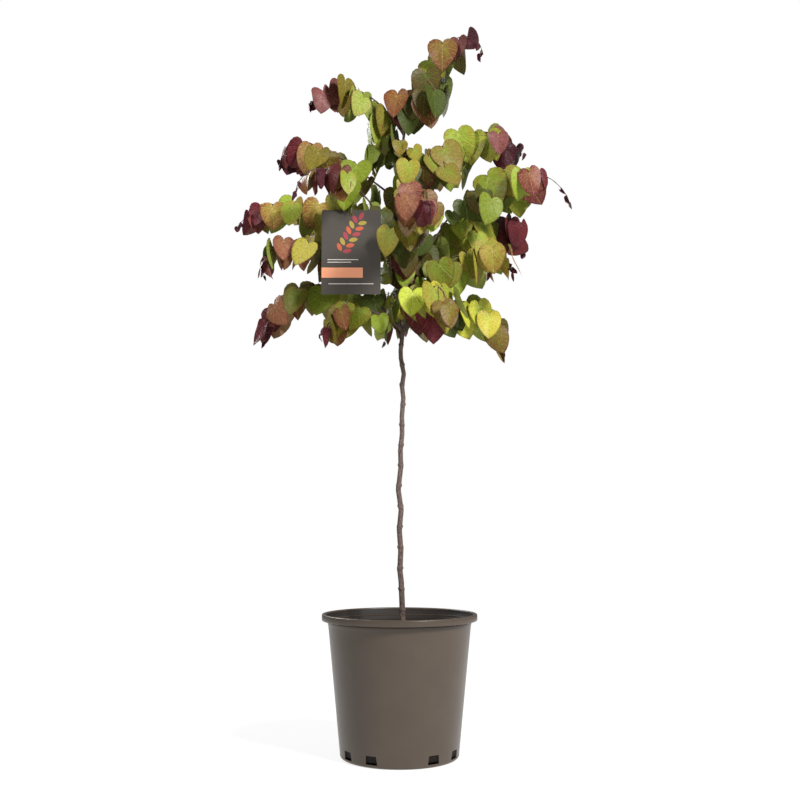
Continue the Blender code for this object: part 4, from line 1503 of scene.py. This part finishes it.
        shell.add(np.concatenate([points, section[0, 1] * UP[None], section[-1, 1] * UP[None]]), faces)
        # The inside's darker, rougher copy of the plastic: its dark colour is painted shade, the shade inside
        # the pot put into its colour.
        inside = PotFinish("moulded_polypropylene_inside_painted_shade", "#2a241f", "#231d19", 0.68)
        piece = shell.build("nursery_pot", [PotFinish().build(), inside.build()], 50.0)
        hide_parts("pot")
        return piece

    def _strips(self, cells: ndarray, inner: int, outer: int, count: int) -> ndarray:
        """The four strips of a drain hole, from the outer wall's edge to the inner wall's.

        Args:
            cells: the hole's columns.
            inner: the first of its rows inside.
            outer: the first of its rows outside.
            count: how many columns the grid has.

        Returns:
            The strips' corner numbers.
        """
        tall = self.drain_rows
        low_in, high_in = inner * count, (inner + tall) * count
        high_out, low_out = outer * count, (outer + tall) * count
        left, right = cells, (cells + 1) % count
        bottom = np.stack([low_out + left, low_out + right, low_in + right, low_in + left], axis=-1)
        top = np.stack([high_out + right, high_out + left, high_in + left, high_in + right], axis=-1)
        rows = np.arange(tall)
        strips = [bottom, top]
        for column, order in ((cells[0], 1), (right[-1], -1)):
            below, above = (outer + tall - rows) * count + column, (inner + rows) * count + column
            strip = np.stack([below - count, below, above, above + count], axis=-1)
            strips.append(strip[:, ::order])
        return np.concatenate(strips)


@dataclass(frozen=True)
class MixFinish:
    """Composted bark potting mix: crumbs and chips of bark, damp and matt, of several browns."""

    name: str
    light: str
    dark: str
    crumb_mm: float = 3.0
    grain_mm: float = 0.8
    relief_mm: float = 0.5
    roughness: float = 0.93

    def build(self) -> Material:
        """Makes the mix's material.

        Returns:
            The material.
        """
        graph = Graph(self.name)
        node = graph.node
        place = node("TexCoord", output="Object")
        crumbs = node("TexVoronoi", {"Vector": place, "Scale": per_metre(self.crumb_mm)}, "Color")
        share = node("SeparateXYZ", (crumbs,))
        colour = node("Mix", {0: share, 6: linear(self.dark), 7: linear(self.light)}, 2, data_type="RGBA")
        grain = node("TexNoise", {"Vector": place, "Scale": per_metre(self.grain_mm), "Detail": 3.0})
        relief = node("Bump", {"Height": grain, "Distance": self.relief_mm * MM, "Strength": 0.8})
        return graph.dress({"Base Color": colour, "Roughness": self.roughness, "Normal": relief})


@dataclass
class PottingMix:
    """The potting mix: a plug in the pot with an uneven top, strewn with chips of bark."""

    pot: Pot
    top: float = 0.2300
    mound: float = 0.0030
    gap: float = 0.0006
    above_drain: float = 0.003
    shoulder: float = 0.006
    sides: int = 160
    rings: int = 46
    wall_rings: int = 10
    lumps: float = 0.0014
    # each layer of lumps: its sines' rate in radians a metre, its weight, and the way it runs in radians
    layers: tuple = ((95.0, 0.5, 0.3), (190.0, 0.35, 1.4), (420.0, 0.25, 2.2), (800.0, 0.18, 0.9))
    chips: int = 620
    chip_corners: int = 6
    chip_size: tuple[float, float] = (0.0035, 0.0105)
    seed: int = 3

    def surface(self, across: ndarray, back: ndarray) -> ndarray:
        """The top's height: a low mound, plus sums of crossed sines for clods and crumbs.

        Args:
            across: how far to the right of the middle.
            back: how far behind it.

        Returns:
            The height at each place.
        """
        reach = np.hypot(across, back)
        mound = self.mound * (1.0 - smooth(0.02, 0.10, reach))
        rough = np.zeros_like(reach)
        for rate, weight, turn in self.layers:
            one = np.sin(rate * (across * math.cos(turn) + back * math.sin(turn)) + 2.0 * turn)
            two = np.sin(rate * 0.83 * (back * math.cos(turn) - across * math.sin(turn)) - turn)
            rough += weight * one * two
        return self.top + mound + self.lumps * rough

    def build(self) -> list[Object]:
        """Makes the plug: rings over its top and down its side, closed at both ends.

        Returns:
            The plug, and the loose chips on it.
        """
        sides, foot = self.sides, self.pot.drain_low + self.above_drain
        inner = self.pot.outer(self.top) - self.pot.wall - self.gap
        turn = ring(sides)[None, :]
        reach = np.linspace(0.012, 1.0, self.rings)[:, None] * inner
        across, back = reach * np.cos(turn), reach * np.sin(turn)
        tops = np.stack([across, back, self.surface(across, back)], axis=-1)
        low = np.linspace(self.top - self.shoulder, foot, self.wall_rings)[:, None]
        wide = np.array([self.pot.outer(float(z)) for z in low[:, 0]])[:, None] - self.pot.wall - self.gap
        low = np.broadcast_to(low, (self.wall_rings, sides))
        rings = np.concatenate([tops, np.stack([wide * np.cos(turn), wide * np.sin(turn), low], axis=-1)])
        rows = len(rings)
        points = np.concatenate([rings.reshape(-1, 3), (self.top + self.mound) * UP[None], foot * UP[None]])
        start, end = cap_faces(rows, sides, flip=True)
        quads = grid_faces(rows, sides)[:, ::-1]
        seen = self.rings * sides
        shell = Shell()
        shell.add(points, [(quads[:seen], 0), (quads[seen:], 1), (start, 0), (end, 1)])
        # The side and foot of the plug, seen only through the drain holes, take a near-black copy of the mix:
        # painted shade, the shade inside the pot put into its colour.
        top_mix = MixFinish("bark_potting_mix", "#4d3a2c", "#241a13")
        shaded_side_mix = MixFinish("potting_mix_side_painted_shade", "#1a130e", "#0e0a08")
        plug = shell.build("potting_mix_plug", [top_mix.build(), shaded_side_mix.build()])
        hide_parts("potting_mix")
        chips = self._chips(inner)
        return [plug, chips]

    def _chips(self, inner: float) -> Object:
        """Strews flat chips, each turned, tilted and sized by its own random draw.

        Args:
            inner: the radius of the mix's top.

        Returns:
            The chips, as one piece.
        """
        rng = np.random.default_rng(self.seed)
        count, corners = self.chips, self.chip_corners
        reach = inner * 0.97 * np.sqrt(rng.uniform(0.004, 1.0, count))
        turn = rng.uniform(0.0, math.tau, count)
        middle = np.stack([reach * np.cos(turn), reach * np.sin(turn)], axis=-1)
        high = self.surface(middle[:, 0], middle[:, 1])[:, None]
        long = rng.uniform(*self.chip_size, count)
        wide = long * rng.uniform(0.35, 0.8, count)
        thick = rng.uniform(0.0010, 0.0026, count)[:, None]
        uneven = rng.uniform(0.75, 1.15, (count, corners))
        flat_x = 0.5 * long[:, None] * np.cos(ring(corners)) * uneven
        flat_y = 0.5 * wide[:, None] * np.sin(ring(corners)) * uneven
        spin = rng.uniform(0.0, math.tau, count)[:, None]
        tilt = rng.normal(0.0, 0.28, (count, 2, 1))
        x = flat_x * np.cos(spin) - flat_y * np.sin(spin)
        y = flat_x * np.sin(spin) + flat_y * np.cos(spin)
        z = tilt[:, 0] * x + tilt[:, 1] * y
        bound = inner * 0.985
        edge = bound / np.maximum(np.hypot(middle[:, :1] + x, middle[:, 1:] + y), bound)
        x, y = (middle[:, :1] + x) * edge, (middle[:, 1:] + y) * edge
        layers = [np.stack([x, y, height], axis=-1) for height in (high + z + thick, high + z - 0.001)]
        shell = Shell()
        for points in np.concatenate(layers, axis=1):
            finish = int(rng.integers(0, 3))
            shell.add(points, [(part, finish) for part in slab_faces(corners)])
        browns = (("#6d5240", "#3c2b20"), ("#4a382b", "#2a1e16"), ("#8a6e55", "#54402f"))
        barks = [MixFinish(f"bark_chip_{number}", *pair, 5.0) for number, pair in enumerate(browns)]
        return shell.build("bark_chips", [bark.build() for bark in barks], 30.0)


@dataclass(frozen=True)
class PrintFinish:
    """Printed polypropylene card stock: an even ink with a slight sheen and a faint tooth."""

    name: str
    colour: str
    roughness: float = 0.5
    tooth_mm: float = 1.2
    relief_mm: float = 0.02
    dim: float = 0.93  # how much of its light the ink keeps where the tooth stands highest

    def build(self) -> Material:
        """Makes one ink's material.

        Returns:
            The material.
        """
        graph = Graph(self.name)
        node = graph.node
        place = node("TexCoord", output="Object")
        tooth = node("TexNoise", {"Vector": place, "Scale": per_metre(self.tooth_mm), "Detail": 2.0})
        inks = {6: linear(self.colour), 7: linear(self.colour, self.dim)}
        colour = node("Mix", {0: tooth, **inks}, 2, data_type="RGBA")
        relief = node("Bump", {"Height": tooth, "Distance": self.relief_mm * MM, "Strength": 0.4})
        return graph.dress({"Base Color": colour, "Roughness": self.roughness, "Normal": relief})


@dataclass
class LabelCard:
    """The label card that hangs in the crown: the CAD sheet, with a plain design printed on it.

    The design is a peach band, thin cream rules, and a sprig of plain oval leaflets.
    """

    proud: float = 0.00025
    depth: float = 0.00020
    edge: float = 0.0004
    band: tuple = (0.70, 0.195, 0.315)  # how far across, and its low and high edges, as shares of the card
    rules: tuple = ((0.405, 0.10, 0.62), (0.375, 0.10, 0.50), (0.12, 0.12, 0.88))
    rule_height: float = 0.0011
    sprig: tuple = (0.34, 0.50)
    sprig_lean: float = math.radians(62.0)
    leaflet_turn: float = math.radians(52.0)
    leaflet: tuple = (0.0170, 0.0085)
    leaflet_step: float = 0.0125
    leaflet_reach: float = 0.0105
    leaflet_pairs: int = 6
    inks: tuple = (
        ("peach", "#ec9e78"), ("cream", "#efe9df"), ("rose", "#9c3b45"), ("rust", "#b9583a"),
        ("moss", "#a08a3c"),
    )

    def _patch(self, shell: Shell, face: float, outline: ndarray, ink: int) -> None:
        """Adds a thin raised patch.

        Args:
            shell: what it is added to.
            face: how far back the card's face lies.
            outline: its outline, as (point, 2) across and up.
            ink: the number of its ink.
        """
        x, z = outline[:, 0], outline[:, 1]
        depths = (face - self.proud, face + self.depth)
        layers = [np.stack([x, np.full(len(x), y), z], axis=-1) for y in depths]
        walls, front, back = slab_faces(len(x))
        shell.add(np.concatenate(layers), [(part, ink) for part in (front, back, walls)])

    @staticmethod
    def _bar(left: float, right: float, low: float, high: float) -> ndarray:
        """A bar's outline, counter-clockwise as seen from the front."""
        return np.array([[left, low], [right, low], [right, high], [left, high]])

    def _oval(self, middle: ndarray, turn: float) -> ndarray:
        """A pointed oval: across is half its width times the sine of the way round to the power 1.4.

        Args:
            middle: its middle, across and up.
            turn: how far its long way is turned from level.

        Returns:
            Its outline.
        """
        share = ring(28)
        along = 0.5 * self.leaflet[0] * np.cos(share)
        across = 0.5 * self.leaflet[1] * np.sin(share) * np.abs(np.sin(share)) ** 0.4
        x = along * math.cos(turn) - across * math.sin(turn)
        z = along * math.sin(turn) + across * math.cos(turn)
        return middle + np.stack([x, z], axis=-1)

    def build(self) -> Object:
        """Makes the print, and gives the CAD sheet and its tie their finishes.

        Returns:
            The print, as one piece.
        """
        low, high = (np.array(corner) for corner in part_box("label_card"))
        left, face, foot = low
        wide, _, tall = high - low
        reach, bottom, top = self.band
        band = self._bar(left + self.edge, left + reach * wide, foot + bottom * tall, foot + top * tall)
        patches = [(band, 0)]
        for share, start, end in self.rules:
            z = foot + share * tall
            patches.append((self._bar(left + start * wide, left + end * wide, z, z + self.rule_height), 1))
        stalk = np.array([left + self.sprig[0] * wide, foot + self.sprig[1] * tall])
        lean = self.sprig_lean
        step = np.array([math.cos(lean), math.sin(lean)]) * self.leaflet_step
        for number in range(self.leaflet_pairs):
            for way in (-1.0, 1.0):
                turn = lean + way * self.leaflet_turn
                aside = self.leaflet_reach * np.array([math.cos(turn), math.sin(turn)])
                ink = 2 + (number + (way > 0)) % 3
                patches.append((self._oval(stalk + number * step + aside, turn), ink))
        patches.append((self._oval(stalk + self.leaflet_pairs * step + 0.4 * step, lean), 2))
        shell = Shell()
        for outline, ink in patches:
            self._patch(shell, float(face), outline, ink)
        inks = [PrintFinish(f"ink_{name}", hue).build() for name, hue in self.inks]
        piece = shell.build("card_print", inks, 30.0)
        self._dress("label_card", PrintFinish("card_stock_warm_grey", "#433d36", 0.55).build())
        self._dress("card_tie", PrintFinish("black_polythene_tie", "#2c2a29", 0.4).build())
        return piece

    @staticmethod
    def _dress(name: str, material: Material) -> None:
        """Gives a CAD node a material in place of its plain one.

        Args:
            name: the node's name.
            material: its new material.
        """
        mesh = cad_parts[name].data
        mesh.materials.clear()
        mesh.materials.append(material)


@dataclass
class Studio:
    """A white room: the camera, a pale floor, an even sky and soft lamps."""

    stand: tuple[float, float, float] = (0.0008, -2.0, 0.438)
    tilt: float = math.radians(6.98)
    lens_mm: float = 45.7
    film_mm: float = 36.0
    view_range: tuple[float, float] = (0.02, 100.0)
    sky: float = 0.20
    floor_reach: float = 2.4
    floor_drop: float = 0.0004
    floor_sides: int = 96
    floor_tone: tuple = (0.26, 0.26, 0.26, 1.0)
    floor_glow: float = 0.83
    white: tuple = (1.0, 1.0, 1.0, 1.0)

    def camera(self) -> None:
        """Sets the camera at the view of the photograph."""
        data = bpy.data.cameras.new("camera")
        data.lens = self.lens_mm
        data.sensor_width = self.film_mm
        data.clip_start, data.clip_end = self.view_range
        camera = put("camera", data)
        camera.location = self.stand
        camera.rotation_euler = (math.pi / 2.0 + self.tilt, 0.0, 0.0)
        bpy.context.scene.camera = camera

    def lamp(
        self, name: str, place: tuple, aim: tuple, size: float, power: float, spread: float = 180.0
    ) -> None:
        """Hangs one square soft lamp that faces a point.

        Args:
            name: the lamp's name.
            place: where it hangs.
            aim: the point that it faces.
            size: its side, in metres.
            power: its light, in watts.
            spread: the angle of its beam, in degrees.
        """
        data = bpy.data.lights.new(name, "AREA")
        data.shape = "SQUARE"
        data.size = size
        data.energy = power
        data.spread = math.radians(spread)
        lamp = put(name, data)
        lamp.location = place
        away = np.array(place) - np.array(aim)
        flat = math.hypot(away[0], away[1])
        lamp.rotation_euler = (math.atan2(flat, away[2]), 0.0, math.atan2(away[0], -away[1]))

    def floor(self) -> None:
        """Lays the pale floor just under the pot: a round sheet."""
        turn = ring(self.floor_sides)
        heights = np.full(self.floor_sides, -self.floor_drop)
        rim = np.stack([self.floor_reach * np.cos(turn), self.floor_reach * np.sin(turn), heights], axis=-1)
        mesh = bpy.data.meshes.new("floor")
        mesh.from_pydata(rim.tolist(), [], [list(range(self.floor_sides))])
        paint = {"Base Color": self.floor_tone, "Roughness": 0.9, "Specular IOR Level": 0.1}
        glow = {"Emission Color": self.white, "Emission Strength": self.floor_glow}
        mesh.materials.append(Graph("painted_floor").dress({**paint, **glow}))
        floor = put("floor", mesh)

    def sky_light(self) -> None:
        """Fills the room with even white light, seen as pure white behind the tree."""
        world = bpy.data.worlds.new("sky")
        world.use_nodes = True
        bpy.context.scene.world = world
        tree = world.node_tree
        ground = tree.nodes["Background"]
        ground.inputs["Color"].default_value = self.white
        path = tree.nodes.new("ShaderNodeLightPath")
        strength = tree.nodes.new("ShaderNodeMapRange")
        strength.inputs["To Min"].default_value = self.sky
        tree.links.new(path.outputs["Is Camera Ray"], strength.inputs["Value"])
        tree.links.new(strength.outputs["Result"], ground.inputs["Strength"])
        bpy.context.scene.view_settings.view_transform = "Standard"

    def build(self) -> None:
        """Sets the whole room up."""
        self.camera()
        self.sky_light()
        self.floor()
        self.lamp("key", (2.1, -2.3, 2.7), (0.0, 0.0, 0.8), 0.8, 177.0)
        self.lamp("left", (-2.3, -2.0, 2.3), (-0.15, 0.0, 1.20), 0.5, 2.6, 36.0)
        self.lamp("rear", (-1.6, 2.4, 2.4), (0.0, 0.0, 0.9), 1.2, 55.0)


def main() -> None:
    """Builds the studio and every piece, and reports each."""
    logging.basicConfig(level=logging.INFO, format="%(message)s")
    Studio().build()
    stem = Stem()
    pot = Pot()
    pieces = [StemWood(stem).build(), *Crown(stem).build()]
    pieces += [pot.build(), *PottingMix(pot).build(), LabelCard().build()]
    for piece in pieces:
        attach(piece, "root")
        log.info("%s: %d faces", piece.name, len(piece.data.polygons))
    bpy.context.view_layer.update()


if __name__ == "__main__":
    main()
